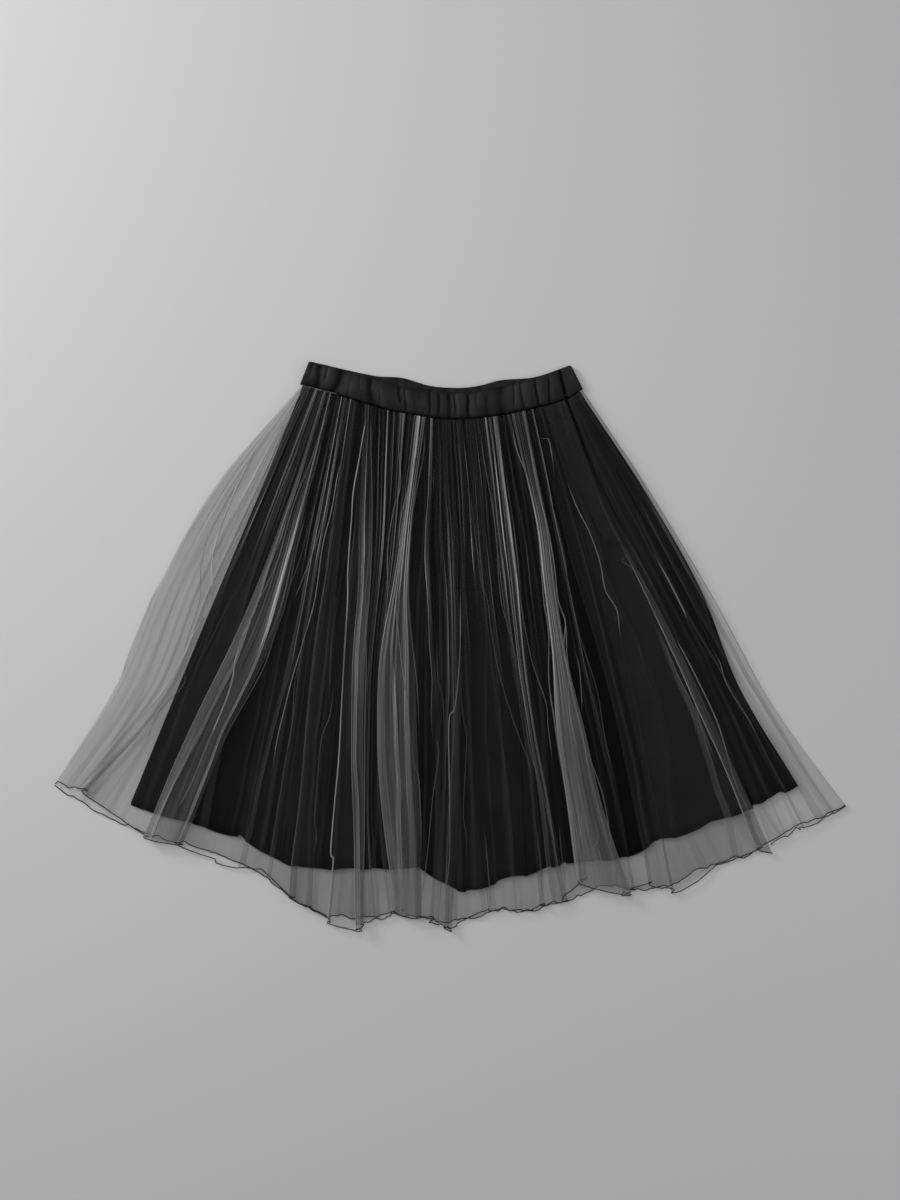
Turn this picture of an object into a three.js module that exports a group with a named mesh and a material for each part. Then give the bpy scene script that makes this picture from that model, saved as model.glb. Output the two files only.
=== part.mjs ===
// A knee-length tulle skirt laid flat on a table with its front up.
// A sheer grey tulle layer hangs over a shorter black underskirt, both gathered onto a black elasticated
// waistband, with a faced opening on the right and a side seam below it.
// Millimetres. +Z is up from the table, +Y runs from hem to waist, +X is to the right of someone who looks
// down at the front. The origin is on the table, in the middle of the skirt's width and length.

import * as THREE from "three";

// Thicknesses and clearances
const TULLE = 1.0; // wall of the tulle, with the air that its gathers hold
const SATIN = 1.0; // wall of the underskirt
const BAND_BACK = 3.0; // elastic in its casing, back half
const BAND_FRONT = 3.2; // the same with the seam's bulk, front half
const SEAM = 0.3; // distance between two pieces that are sewn together
const CHORD = 0.8; // added along the waist, where two pieces follow one curve in steps of different length
const SLIT = 1.2; // width of the faced opening

// Heights of the undersides, from the table up
const UNDER_BACK = TULLE + SEAM;
const UNDER_FRONT = UNDER_BACK + SATIN + SEAM;
const UNDER_PLEAT = 2.4; // tallest gather of the underskirt
const FACING_LIFT = 0.22 * UNDER_PLEAT; // what the low gathers under the facing hold it up by
const FACING = UNDER_FRONT + SATIN + SEAM + FACING_LIFT;
const TULLE_CLEAR = 0.4; // between the underskirt's tallest gather and the front tulle
const TULLE_FRONT = UNDER_FRONT + SATIN + UNDER_PLEAT + TULLE_CLEAR;
const TULLE_LOW = TULLE + SEAM; // where tulle lies on tulle, past the underskirt
const BAND_LEVEL = BAND_BACK + SEAM;
const SEAM_RISE_UNDER = BAND_LEVEL; // underskirt where it enters the front waistband
const SEAM_CLEAR = 0.9; // between the two layers where they enter it
const SEAM_RISE_TULLE = BAND_LEVEL + SATIN + SEAM_CLEAR;

// Plan curves of the waist, as [x, y]
const FRONT_SEAM = [[-185.6, 323.8], [-141, 311.5], [-100, 298.8], [-60, 288.8], [0, 281], [60, 285.4],
  [105, 295], [144.4, 306.3], [163.1, 317.5]];
const BACK_SEAM = [[-185.6, 323.8], [-100, 304], [-60, 299], [0, 289], [60, 297], [105, 301.5],
  [163.1, 317.5]];
const FRONT_TOP = [[-174.4, 353.8], [-94.4, 333.8], [-56.9, 321.6], [-13.1, 317.8], [24.4, 314.6],
  [49.4, 320], [86.9, 328.5], [128.1, 340.2], [148.1, 348.8]];
const BACK_TOP = [[-174.4, 353.8], [-94.4, 336], [-60, 333.4], [-25, 323.5], [12, 321], [37, 324],
  [62, 330.5], [105, 334.5], [148.1, 348.8]];
const WAIST_LEFT = [-185.6, -174.4]; // x of the band's left end, at the seam and at the top
const WAIST_RIGHT = [163.1, 148.1];
const WAIST_SLIT = [144.4, 135.8];

// Fold lines run from the waist to the hem. Each row gives x at the waist seam, a quarter, half and three
// quarters of the way down and at the hem, then end, the y of its end at the hem. gathers is the number of
// gathers up to the next line.

// The front of the tulle. lift is how far the doubled band that starts at a line stands up.
const TULLE_LINES = [
  { waist: -185.6, upper: -293, middle: -364, lower: -417, hem: -494.4, end: -173.8, gathers: 3, lift: 0 },
  { waist: -180.6, upper: -242, middle: -299, lower: -353, hem: -458, end: -182.5, gathers: 4, lift: 3 },
  { waist: -158, upper: -201, middle: -254, lower: -321, hem: -384, end: -241.3, gathers: 3, lift: 8 },
  { waist: -147, upper: -179, middle: -211, lower: -277, hem: -334, end: -250, gathers: 3, lift: 0 },
  { waist: -132, upper: -157, middle: -182, lower: -204, hem: -236, end: -279, gathers: 2, lift: 2 },
  { waist: -123, upper: -147, middle: -169, lower: -184, hem: -201, end: -315, gathers: 2, lift: 5 },
  { waist: -117, upper: -133, middle: -148, lower: -162, hem: -172, end: -325, gathers: 2, lift: 0 },
  { waist: -109, upper: -121, middle: -132, lower: -141, hem: -153, end: -345, gathers: 1, lift: 3 },
  { waist: -105, upper: -112, middle: -121, lower: -123, hem: -126, end: -353.8, gathers: 2, lift: 8 },
  { waist: -97, upper: -99, middle: -106, lower: -108, hem: -110, end: -347.5, gathers: 4, lift: 0 },
  { waist: -73, upper: -80, middle: -96, lower: -99, hem: -91, end: -342.5, gathers: 4, lift: 0 },
  { waist: -42, upper: -61, middle: -87, lower: -89, hem: -69, end: -331.3, gathers: 3, lift: 7 },
  { waist: -31, upper: -49, middle: -46, lower: -40, hem: -37, end: -337.5, gathers: 3, lift: 0 },
  { waist: -20, upper: -18, middle: -13, lower: -16, hem: -24, end: -343.8, gathers: 3, lift: 2 },
  { waist: -9, upper: 0, middle: 5, lower: -2, hem: -9, end: -351.3, gathers: 2, lift: 6 },
  { waist: -3, upper: 8, middle: 13, lower: 8, hem: 3, end: -352.5, gathers: 2, lift: 0 },
  { waist: 3, upper: 14, middle: 20, lower: 31, hem: 49, end: -328.8, gathers: 7, lift: 2 },
  { waist: 41, upper: 58, middle: 77, lower: 99, hem: 112, end: -325, gathers: 3, lift: 5 },
  { waist: 59, upper: 77, middle: 92, lower: 116, hem: 144, end: -318.8, gathers: 3, lift: 0 },
  { waist: 76, upper: 107, middle: 124, lower: 137, hem: 159, end: -293.8, gathers: 5, lift: 9 },
  { waist: 93, upper: 121, middle: 144, lower: 179, hem: 222, end: -311.3, gathers: 3, lift: 0 },
  { waist: 106, upper: 139, middle: 187, lower: 217, hem: 247, end: -298.8, gathers: 2, lift: 3 },
  { waist: 122, upper: 171, middle: 213, lower: 243, hem: 277, end: -308.8, gathers: 2, lift: 0 },
  { waist: 133, upper: 183, middle: 250, lower: 303, hem: 334, end: -276.3, gathers: 1, lift: 0 },
  { waist: 141, upper: 191, middle: 262, lower: 323, hem: 383, end: -255, gathers: 1, lift: 4 },
  { waist: 144.4, upper: 197, middle: 270.6, lower: 337, hem: 400.6, end: -258.8, gathers: 0, lift: 0 },
];

// The tulle that comes round the right-hand fold from the back to the side line. deep is the height of the
// gathers up to the next line, as a share of the tallest.
const TULLE_RETURN = [
  { waist: 144.4, upper: 197, middle: 270.6, lower: 337, hem: 400.6, end: -248, gathers: 2, deep: 0.5 },
  { waist: 153, upper: 222, middle: 290.6, lower: 369, hem: 433, end: -227.5, gathers: 2, deep: 0.8 },
  { waist: 163.1, upper: 249.4, middle: 327, lower: 399.4, hem: 492.5, end: -201.3, gathers: 0, deep: 0 },
];
const TULLE_BACK_HEM = [[-494.4, -173.8], [-450, -201], [-382, -234], [-300, -256], [-235, -289],
  [-188, -325], [-125, -341], [-63, -336], [0, -344], [62, -334], [124, -325], [187, -304], [250, -304],
  [312, -279], [368, -262], [400, -244], [433, -227.5], [494.4, -201.3]];

// The front of the underskirt, and its back where it comes round the right-hand fold
const UNDER_LINES = [
  { waist: -184.4, upper: -237, middle: -292, lower: -346, hem: -399.4, end: -197.5, gathers: 2, deep: 0.7 },
  { waist: -163, upper: -207, middle: -251, lower: -288, hem: -323, end: -221.3, gathers: 2, deep: 0.9 },
  { waist: -138, upper: -173, middle: -207, lower: -236, hem: -263, end: -237.5, gathers: 3, deep: 1 },
  { waist: -111, upper: -136, middle: -161, lower: -182, hem: -201, end: -273.8, gathers: 4, deep: 0.8 },
  { waist: -63, upper: -78, middle: -92, lower: -103, hem: -113, end: -278.8, gathers: 3, deep: 1 },
  { waist: -26, upper: -29, middle: -33, lower: -37, hem: -41, end: -276.3, gathers: 2, deep: 0.9 },
  { waist: -11, upper: -9, middle: -8, lower: -7, hem: -6, end: -297.5, gathers: 2, deep: 1 },
  { waist: 6, upper: 11, middle: 14, lower: 18, hem: 21, end: -306.3, gathers: 2, deep: 0.8 },
  { waist: 34, upper: 43, middle: 51, lower: 57, hem: 63, end: -292.5, gathers: 4, deep: 1 },
  { waist: 74, upper: 94, middle: 112, lower: 127, hem: 141, end: -271.3, gathers: 3, deep: 0.9 },
  { waist: 102, upper: 137, middle: 168, lower: 192, hem: 213, end: -262.5, gathers: 1, deep: 0.7 },
  { waist: 117, upper: 160, middle: 205, lower: 238, hem: 268, end: -243.8, gathers: 1, deep: 0.15 },
  { waist: 132, upper: 179, middle: 238, lower: 284, hem: 324, end: -221.3, gathers: 1, deep: 0.15 },
  { waist: 144.4, upper: 197, middle: 265.6, lower: 327, hem: 378, end: -200, gathers: 0, deep: 0 },
];
const UNDER_RETURN = [
  { waist: 144.4, upper: 197, middle: 265.6, lower: 327, hem: 378, end: -200, gathers: 1, deep: 0.3 },
  { waist: 152, upper: 222, middle: 290, lower: 347, hem: 408, end: -185, gathers: 1, deep: 0.9 },
  { waist: 160, upper: 240.6, middle: 310.6, lower: 359.4, hem: 433, end: -176.3, gathers: 0, deep: 0 },
];
const STATIONS = ["waist", "upper", "middle", "lower", "hem"];

// How the tulle comes down from the underskirt's edge onto the back
const EDGE_CLEAR = 7; // distance past the edge over which it is still held up
const EDGE_RUN = 30; // distance in which it then comes down

// The faced opening: it runs down the side line from the waist.
const FACING_WIDTH = 30;
const FACING_START = 24; // down the side line from the waist seam
const FACING_LENGTH = 182;
const FACING_STEPS = 9;
const FACING_COLUMNS = [1, 0.66, 0.33, 0]; // shares of its width

// Gathers
const BAND_GATHERS = 30; // across the front
const BACK_GATHERS = 18; // across the back, which is seen only as a strip
const BAND_CRINKLE = 0.9;
const BAND_CROWN = 0.5;
const BAND_TURN = 2.4; // how far the band's folded ends stand out
const BAND_TURN_INSIDE = 0.2;
const BAND_SIZES = [0.35, 1]; // smallest and largest crinkle, as shares of the tallest
const BACK_BAND_CRINKLE = 0.45;
const TULLE_GATHER = 3.4; // height of a tulle gather just below the waistband
const TULLE_SIZES = [0.6, 1]; // smallest and largest gather, as shares of the tallest
const TULLE_LASTS = [0.25, 0.7]; // what is left of a gather at the hem
const TULLE_AT_SEAM = 0.3; // height of a gather in the seam, as a share of that below it
const UNDER_SIZES = [0.65, 1];
const UNDER_LASTS = [0.45, 0.8];
const UNDER_AT_SEAM = 0.2;
const NEAR_WAIST = 15; // distance over which the tulle's gathers spring up from the seam
const NEAR_WAIST_UNDER = 1.5 * NEAR_WAIST;
const BAND_SIDE = 0.25; // width of a doubled band's slope on each side, as a share of its panel
const BAND_GROWS = 3.2; // a doubled band is at full height at one part in this of the fall
const GATHER_EASES = 1.2; // the tulle's gathers are down to what is left at one part in this of the fall

// The right-hand fold
const FOLD_REACH = 2.5; // how far a folded layer stands out
const FOLD_REACH_INSIDE = 0.4;
const TULLE_FOLD_LIFT = 1.4; // height of the folded tulle over what carries it, at the fold
const TULLE_RETURN_LIFT = 0.6; // the same past the fold
const UNDER_FOLD_LIFT = 0.6;
const RETURN_GATHER = 0.5 * TULLE_GATHER;
const RETURN_GROWS = 4;
const TULLE_FLAT_COLUMNS = 24;
const UNDER_FLAT_COLUMNS = 18;
const TURN = [-0.25, 0, 0.25]; // steps round a fold, in half turns from its middle

// Where each kind of unevenness starts in the row of uneven numbers
const UNEVEN = { tulleLasts: 7, underLasts: 3, underSizes: 40, returnSizes: 60, backBand: 80 };

const mix = (a, b, f) => a + (b - a) * f;
const smooth = (f) => {
  const c = Math.min(1, Math.max(0, f));
  return c * c * (3 - 2 * c);
};
// A repeatable number from 0 to 1 for the nth gather, so that no two gathers are alike.
const uneven = (n) => {
  const v = Math.sin((n + 1) * 12.9898) * 43758.5453;
  return v - Math.floor(v);
};
const unevenFrom = ([low, high], n) => mix(low, high, uneven(n));

// A smooth line y(x) through a short list of points.
function curveThrough(points) {
  const slope = points.map((_, i) => {
    const a = points[Math.max(0, i - 1)];
    const b = points[Math.min(points.length - 1, i + 1)];
    return (b[1] - a[1]) / (b[0] - a[0]);
  });
  return (x) => {
    let i = 0;
    while (i < points.length - 2 && x > points[i + 1][0]) i += 1;
    const [x0, y0] = points[i];
    const [x1, y1] = points[i + 1];
    const w = x1 - x0;
    const f = Math.min(1, Math.max(0, (x - x0) / w));
    const g = f * f;
    const h = g * f;
    const ends = (2 * h - 3 * g + 1) * y0 + (3 * g - 2 * h) * y1;
    return ends + w * ((h - 2 * g + f) * slope[i] + (h - g) * slope[i + 1]);
  };
}

const frontSeam = curveThrough(FRONT_SEAM);
const backSeam = curveThrough(BACK_SEAM);
const frontTop = curveThrough(FRONT_TOP);
const backTop = curveThrough(BACK_TOP);
const tulleBackHem = curveThrough(TULLE_BACK_HEM);
const underHem = curveThrough([...UNDER_LINES, ...UNDER_RETURN.slice(1)].map((l) => [l.hem, l.end]));

// Where a fold line is at a share t of its fall: a smooth curve through its five x, straight in y.
function fall(line, t, seamLine) {
  const steps = STATIONS.length - 1;
  const k = Math.min(steps - 1, Math.floor(t * steps));
  const f = t * steps - k;
  const x = (i) => line[STATIONS[Math.min(steps, Math.max(0, i))]];
  const before = k === 0 ? 2 * x(0) - x(1) : x(k - 1);
  const after = k === steps - 1 ? 2 * x(steps) - x(steps - 1) : x(k + 2);
  const bend = 2 * x(k) + (x(k + 1) - before) * f + (2 * before - 5 * x(k) + 4 * x(k + 1) - after) * f * f
    + (3 * (x(k) - x(k + 1)) + after - before) * f * f * f;
  return [bend / 2, mix(seamLine(line.waist), line.end, t)];
}

// A line between two neighbours of a table, with every column in proportion.
function between(a, b, f) {
  const line = {};
  for (const key of Object.keys(a)) line[key] = mix(a[key], b[key], f);
  return line;
}

// The columns of a gathered piece: a valley, a crest, a valley and so on between each pair of lines.
function columnsOf(lines) {
  const columns = [{ line: lines[0], crest: 0, across: 0, row: lines[0], n: 0 }];
  let n = 0;
  for (let i = 0; i < lines.length - 1; i += 1) {
    const steps = 2 * lines[i].gathers;
    for (let k = 1; k <= steps; k += 1) {
      const f = k / steps;
      columns.push({
        line: between(lines[i], lines[i + 1], f),
        crest: k % 2,
        across: f,
        row: lines[i],
        n: n + Math.floor(k / 2),
      });
    }
    n += lines[i].gathers;
  }
  return columns;
}

// A closed wall between two grids of points that have the same rows and columns. Rows run from waist to hem
// and columns from left to right; where a piece lies flat, the first grid is the one on top.
function wall(upper, lower) {
  const rows = upper.length;
  const columns = upper[0].length;
  const positions = [...upper.flat(), ...lower.flat()].flat();
  const o = (i, j) => i * columns + j;
  const n = (i, j) => rows * columns + o(i, j);
  const index = [];
  const quad = (a, b, c, d) => index.push(a, b, c, a, c, d);
  for (let i = 0; i < rows - 1; i += 1) {
    for (let j = 0; j < columns - 1; j += 1) {
      quad(o(i, j), o(i + 1, j), o(i + 1, j + 1), o(i, j + 1));
      quad(n(i, j), n(i, j + 1), n(i + 1, j + 1), n(i + 1, j));
    }
    quad(o(i, 0), n(i, 0), n(i + 1, 0), o(i + 1, 0));
    quad(o(i, columns - 1), o(i + 1, columns - 1), n(i + 1, columns - 1), n(i, columns - 1));
  }
  for (let j = 0; j < columns - 1; j += 1) {
    quad(o(0, j), o(0, j + 1), n(0, j + 1), n(0, j));
    quad(o(rows - 1, j), n(rows - 1, j), n(rows - 1, j + 1), o(rows - 1, j + 1));
  }
  const geometry = new THREE.BufferGeometry();
  geometry.setAttribute("position", new THREE.Float32BufferAttribute(positions, 3));
  geometry.setIndex(index);
  geometry.computeVertexNormals();
  return geometry;
}

// The edge of the underskirt at a height y, on the left or the right.
function underEdge(line, y) {
  const top = frontSeam(line.waist);
  const t = Math.min(1, Math.max(0, (y - top) / (line.end - top)));
  return fall(line, t, frontSeam)[0];
}

// How far a point lies outside the underskirt, in plan. It is negative inside.
function outsideUnderskirt(x, y) {
  const left = underEdge(UNDER_LINES[0], y) - x;
  const right = x - underEdge(UNDER_RETURN[UNDER_RETURN.length - 1], y);
  return Math.max(left, right, underHem(x) - y);
}

// The share of its fall at which a tulle line passes the underskirt's hem.
function passesHem(line) {
  let low = 0.6;
  let high = 1;
  for (let step = 0; step < 24; step += 1) {
    const t = (low + high) / 2;
    const [x, y] = fall(line, t, frontSeam);
    if (y > underHem(x) - EDGE_CLEAR) low = t;
    else high = t;
  }
  return low;
}

// How high the tulle's underside is carried at a point that is down millimetres below the seam.
function tulleSupport(x, y, down) {
  const sprung = mix(SEAM_RISE_TULLE, TULLE_FRONT, Math.min(1, down / NEAR_WAIST));
  return mix(sprung, TULLE_LOW, smooth((outsideUnderskirt(x, y) - EDGE_CLEAR) / EDGE_RUN));
}

const TULLE_ROWS = [0.1, 0.22, 0.36, 0.5, 0.64, 0.78, 0.9, 1]; // shares of the fall over the underskirt
const PAST_ROWS = [0.45, 1]; // shares of the fall past the underskirt's hem

function tulleFront() {
  const columns = columnsOf(TULLE_LINES);
  const top = [];
  const under = [];
  const passing = columns.map((c) => passesHem(c.line));
  const rowCount = 2 + TULLE_ROWS.length + PAST_ROWS.length;
  for (let i = 0; i < rowCount; i += 1) {
    top.push([]);
    under.push([]);
  }
  columns.forEach((c, j) => {
    const length = frontSeam(c.line.waist) - c.line.end;
    const shares = [0, NEAR_WAIST / length, ...TULLE_ROWS.map((s) => s * passing[j])];
    shares.push(...PAST_ROWS.map((s) => mix(passing[j], 1, s)));
    shares.forEach((t, i) => {
      const [x, y] = fall(c.line, t, frontSeam);
      const spring = Math.min(1, (t * length) / NEAR_WAIST);
      const fade = mix(1, unevenFrom(TULLE_LASTS, c.n + UNEVEN.tulleLasts), smooth(t * GATHER_EASES));
      const sprung = mix(TULLE_AT_SEAM, 1, spring);
      const gather = c.crest * TULLE_GATHER * sprung * unevenFrom(TULLE_SIZES, c.n) * fade;
      const plateau = Math.min(1, Math.min(c.across, 1 - c.across) / BAND_SIDE);
      const band = c.row.lift * plateau * smooth(t * BAND_GROWS);
      const z = tulleSupport(x, y, t * length) + gather + band;
      const edge = j === columns.length - 1 ? x - SLIT / 2 : x;
      under[i].push([edge, y, z]);
      top[i].push([edge, y, z + TULLE]);
    });
  });
  return wall(top, under);
}

const UNDER_ROWS = [0.1, 0.24, 0.4, 0.55, 0.7, 0.85, 1];

// Height of an underskirt gather, over the level on which the piece lies.
function underGather(c, t, length) {
  const sprung = mix(UNDER_AT_SEAM, 1, Math.min(1, (t * length) / NEAR_WAIST_UNDER));
  const fade = mix(1, unevenFrom(UNDER_LASTS, c.n + UNEVEN.underLasts), smooth(t));
  const size = unevenFrom(UNDER_SIZES, c.n + UNEVEN.underSizes);
  return c.crest * UNDER_PLEAT * c.row.deep * sprung * size * fade;
}

function underskirtFront() {
  const columns = columnsOf(UNDER_LINES);
  const top = [];
  const under = [];
  const rowCount = 2 + UNDER_ROWS.length;
  for (let i = 0; i < rowCount; i += 1) {
    top.push([]);
    under.push([]);
  }
  columns.forEach((c, j) => {
    const length = frontSeam(c.line.waist) - c.line.end;
    const shares = [0, NEAR_WAIST_UNDER / length, ...UNDER_ROWS];
    shares.forEach((t, i) => {
      const [x, y] = fall(c.line, t, frontSeam);
      const level = mix(SEAM_RISE_UNDER, UNDER_FRONT, Math.min(1, (t * length) / NEAR_WAIST));
      const z = level + underGather(c, t, length);
      const edge = j === columns.length - 1 ? x - SLIT / 2 : x;
      under[i].push([edge, y, z]);
      top[i].push([edge, y, z + SATIN]);
    });
  });
  return wall(top, under);
}

// A back piece that lies flat, turns round the right-hand fold and comes back over itself to the side line.
// comesBack gives the points of the part that has come back, from the fold to the side line.
function wrapped({ rows, flatColumns, foot, thickness, leftLine, rightLine, hemLine, comesBack }) {
  const outer = [];
  const inner = [];
  for (const t of rows) {
    const outside = [];
    const inside = [];
    for (let j = 0; j <= flatColumns; j += 1) {
      const f = j / flatColumns;
      const line = between(leftLine, rightLine, f);
      line.end = hemLine(line.hem);
      const [x, y] = fall(line, t, backSeam);
      outside.push([x, y, foot]);
      inside.push([x, y, foot + thickness]);
    }
    const [xRight, yRight] = outside[flatColumns];
    const over = comesBack(t);
    const middle = (foot + over[0].z + thickness) / 2;
    const reach = Math.min(FOLD_REACH, middle - foot);
    const reachInside = Math.max(FOLD_REACH_INSIDE, reach - thickness);
    for (const turn of TURN) {
      const c = Math.cos(turn * Math.PI);
      const s = Math.sin(turn * Math.PI);
      const r = middle - foot;
      outside.push([xRight + reach * c, yRight, middle + r * s]);
      inside.push([xRight + reachInside * c, yRight, middle + (r - thickness) * s]);
    }
    for (const p of over) {
      outside.push([p.x, p.y, p.z + thickness]);
      inside.push([p.x, p.y, p.z]);
    }
    outer.push(outside);
    inner.push(inside);
  }
  return wall(inner, outer);
}

const BACK_ROWS = [0, 0.045, 0.1, 0.2, 0.35, 0.5, 0.65, 0.8, 0.9, 1];

function tulleBack() {
  const turned = columnsOf(TULLE_RETURN).reverse();
  const right = TULLE_RETURN[TULLE_RETURN.length - 1];
  const comesBack = (t) =>
    turned.map((c, j) => {
      const length = frontSeam(c.line.waist) - c.line.end;
      const [x, y] = fall(c.line, t, frontSeam);
      const lift = j === 0 ? TULLE_FOLD_LIFT : TULLE_RETURN_LIFT;
      const size = unevenFrom(TULLE_SIZES, c.n + UNEVEN.returnSizes);
      const gather = c.crest * RETURN_GATHER * c.row.deep * smooth(t * RETURN_GROWS) * size;
      const z = tulleSupport(x, y, t * length) + lift + gather;
      return { x: j === turned.length - 1 ? x + SLIT / 2 : x, y, z };
    });
  return wrapped({
    rows: BACK_ROWS,
    flatColumns: TULLE_FLAT_COLUMNS,
    foot: 0,
    thickness: TULLE,
    leftLine: TULLE_LINES[0],
    rightLine: right,
    hemLine: tulleBackHem,
    comesBack,
  });
}

function underskirtBack() {
  const turned = columnsOf(UNDER_RETURN).reverse();
  const right = UNDER_RETURN[UNDER_RETURN.length - 1];
  const comesBack = (t) =>
    turned.map((c, j) => {
      const length = frontSeam(c.line.waist) - c.line.end;
      const [x, y] = fall(c.line, t, frontSeam);
      const level = mix(SEAM_RISE_UNDER, UNDER_FRONT, Math.min(1, (t * length) / NEAR_WAIST));
      const lift = j === 0 ? UNDER_FOLD_LIFT : 0;
      return {
        x: j === turned.length - 1 ? x + SLIT / 2 : x,
        y,
        z: level + lift + underGather(c, t, length),
      };
    });
  return wrapped({
    rows: BACK_ROWS,
    flatColumns: UNDER_FLAT_COLUMNS,
    foot: UNDER_BACK,
    thickness: SATIN,
    leftLine: UNDER_LINES[0],
    rightLine: right,
    hemLine: underHem,
    comesBack,
  });
}

// The flat strip that faces the opening, on the underskirt and under the tulle.
function placketFacing() {
  const side = UNDER_LINES[UNDER_LINES.length - 1];
  const full = frontSeam(side.waist) - side.end;
  const top = [];
  const under = [];
  for (let i = 0; i <= FACING_STEPS; i += 1) {
    const t = mix(FACING_START, FACING_LENGTH, i / FACING_STEPS) / full;
    const [x, y] = fall(side, t, frontSeam);
    const columns = FACING_COLUMNS.map((share) => x - SLIT / 2 - share * FACING_WIDTH);
    under.push(columns.map((cx) => [cx, y, FACING]));
    top.push(columns.map((cx) => [cx, y, FACING + SATIN]));
  }
  return wall(top, under);
}

const BAND_ROWS = [1, 0.86, 0.5, 0.14, 0]; // shares of its height, from the top edge to the seam

// Columns of a gathered band, from one end to the other, as shares of its width.
function bandShares(gathers) {
  const shares = [];
  for (let k = 0; k <= 2 * gathers; k += 1) shares.push({ f: k / (2 * gathers), crest: k % 2, n: k });
  return shares;
}

const bandCrown = (across) => BAND_CROWN * Math.sin(Math.PI * Math.min(1, Math.max(0, across)));

// A point of the band at a share f from its left end to its right end, in plan.
function bandPoint(ends, f, across, seamLine, topLine) {
  const xSeam = mix(ends.seam[0], ends.seam[1], f);
  const xTop = mix(ends.top[0], ends.top[1], f);
  return [mix(xSeam, xTop, across), mix(seamLine(xSeam) + SEAM + CHORD, topLine(xTop), across)];
}

// Three columns that carry the band round a fold at x, which opens towards side (1 is to the right).
function bandTurn(x, y, side) {
  const height = BAND_LEVEL + BAND_FRONT;
  const middle = BAND_BACK + SEAM / 2;
  return [...TURN].reverse().map((turn) => {
    const c = side * Math.cos(turn * Math.PI);
    const s = Math.sin(turn * Math.PI);
    return {
      outside: [x + BAND_TURN * c, y, (height / 2) * (1 + s)],
      inside: [x + BAND_TURN_INSIDE * c, y, middle + (SEAM / 2) * s],
    };
  });
}

// The whole waistband: one strip from the opening across the front, round the left, across the back, round
// the right and on to the opening's other edge.
function waistband() {
  const height = BAND_LEVEL + BAND_FRONT;
  const stretch = (from, to) => ({ seam: [from[0], to[0]], top: [from[1], to[1]] });
  const front = stretch(WAIST_LEFT, WAIST_SLIT.map((x) => x - SLIT / 2));
  const back = stretch(WAIST_LEFT, WAIST_RIGHT);
  const tab = stretch(WAIST_SLIT.map((x) => x + SLIT / 2), WAIST_RIGHT);
  const outer = [];
  const inner = [];
  for (const across of BAND_ROWS) {
    const outside = [];
    const inside = [];
    for (const { f, crest, n } of bandShares(BAND_GATHERS).reverse()) {
      const [x, y] = bandPoint(front, f, across, frontSeam, frontTop);
      const crinkle = crest * BAND_CRINKLE * unevenFrom(BAND_SIZES, n);
      const crown = f > 0 ? bandCrown(across) : 0;
      outside.push([x, y, height + crinkle + crown]);
      inside.push([x, y, BAND_LEVEL]);
    }
    const [xLeft, yLeft] = bandPoint(back, 0, across, backSeam, backTop);
    for (const step of bandTurn(xLeft, yLeft, -1)) {
      outside.push(step.outside);
      inside.push(step.inside);
    }
    for (const { f, crest, n } of bandShares(BACK_GATHERS)) {
      const [x, y] = bandPoint(back, f, across, backSeam, backTop);
      const crinkle = crest * BACK_BAND_CRINKLE * unevenFrom(BAND_SIZES, n + UNEVEN.backBand);
      outside.push([x, y, 0]);
      inside.push([x, y, BAND_BACK - crinkle]);
    }
    const [xRight, yRight] = bandPoint(back, 1, across, backSeam, backTop);
    for (const step of bandTurn(xRight, yRight, 1).reverse()) {
      outside.push(step.outside);
      inside.push(step.inside);
    }
    for (const f of [1, 0.5, 0]) {
      const [x, y] = bandPoint(tab, f, across, frontSeam, frontTop);
      const crown = f < 1 ? bandCrown(across) : 0;
      outside.push([x, y, height + crown]);
      inside.push([x, y, BAND_LEVEL]);
    }
    outer.push(outside);
    inner.push(inside);
  }
  return wall(inner, outer);
}

const sheer = new THREE.MeshStandardMaterial({ color: 0x6a6a6d, roughness: 0.7, metalness: 0 });
const satin = new THREE.MeshStandardMaterial({ color: 0x161617, roughness: 0.5, metalness: 0 });
const twill = new THREE.MeshStandardMaterial({ color: 0x1f1f20, roughness: 0.8, metalness: 0 });

function piece(name, geometry, material) {
  const mesh = new THREE.Mesh(geometry, material);
  mesh.name = name;
  return mesh;
}

const skirt = new THREE.Group();
skirt.add(
  piece("waistband", waistband(), twill),
  piece("tulle_front", tulleFront(), sheer),
  piece("tulle_back", tulleBack(), sheer),
  piece("underskirt_front", underskirtFront(), satin),
  piece("underskirt_back", underskirtBack(), satin),
  piece("placket_facing", placketFacing(), satin),
);

export default skirt;
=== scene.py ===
"""A knee-length tulle skirt laid flat on a table, front up, seen from straight above.

A sheer grey net layer, gathered into uneven folds, lies over a shorter black underskirt. Both hang from a
black elasticated waistband, with a faced opening on the right and a side seam below it. Lengths are in
millimetres, in the part's own frame: +X to the right, +Y from hem to waist, +Z up. They become metres in the
meshes.
"""

import logging
import math
from dataclasses import dataclass, field
from enum import Enum

import bpy
import numpy as np
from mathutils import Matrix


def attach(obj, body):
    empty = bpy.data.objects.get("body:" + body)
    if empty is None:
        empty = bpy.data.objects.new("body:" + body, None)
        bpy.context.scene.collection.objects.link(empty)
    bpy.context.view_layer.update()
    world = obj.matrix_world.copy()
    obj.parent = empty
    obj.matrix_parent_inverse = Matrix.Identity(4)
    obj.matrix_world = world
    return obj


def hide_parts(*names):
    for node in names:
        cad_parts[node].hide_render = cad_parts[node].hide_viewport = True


Array, Tree, Socket = np.ndarray, bpy.types.NodeTree, bpy.types.NodeSocket
Object, Material, ShaderNode = bpy.types.Object, bpy.types.Material, bpy.types.ShaderNode

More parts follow.
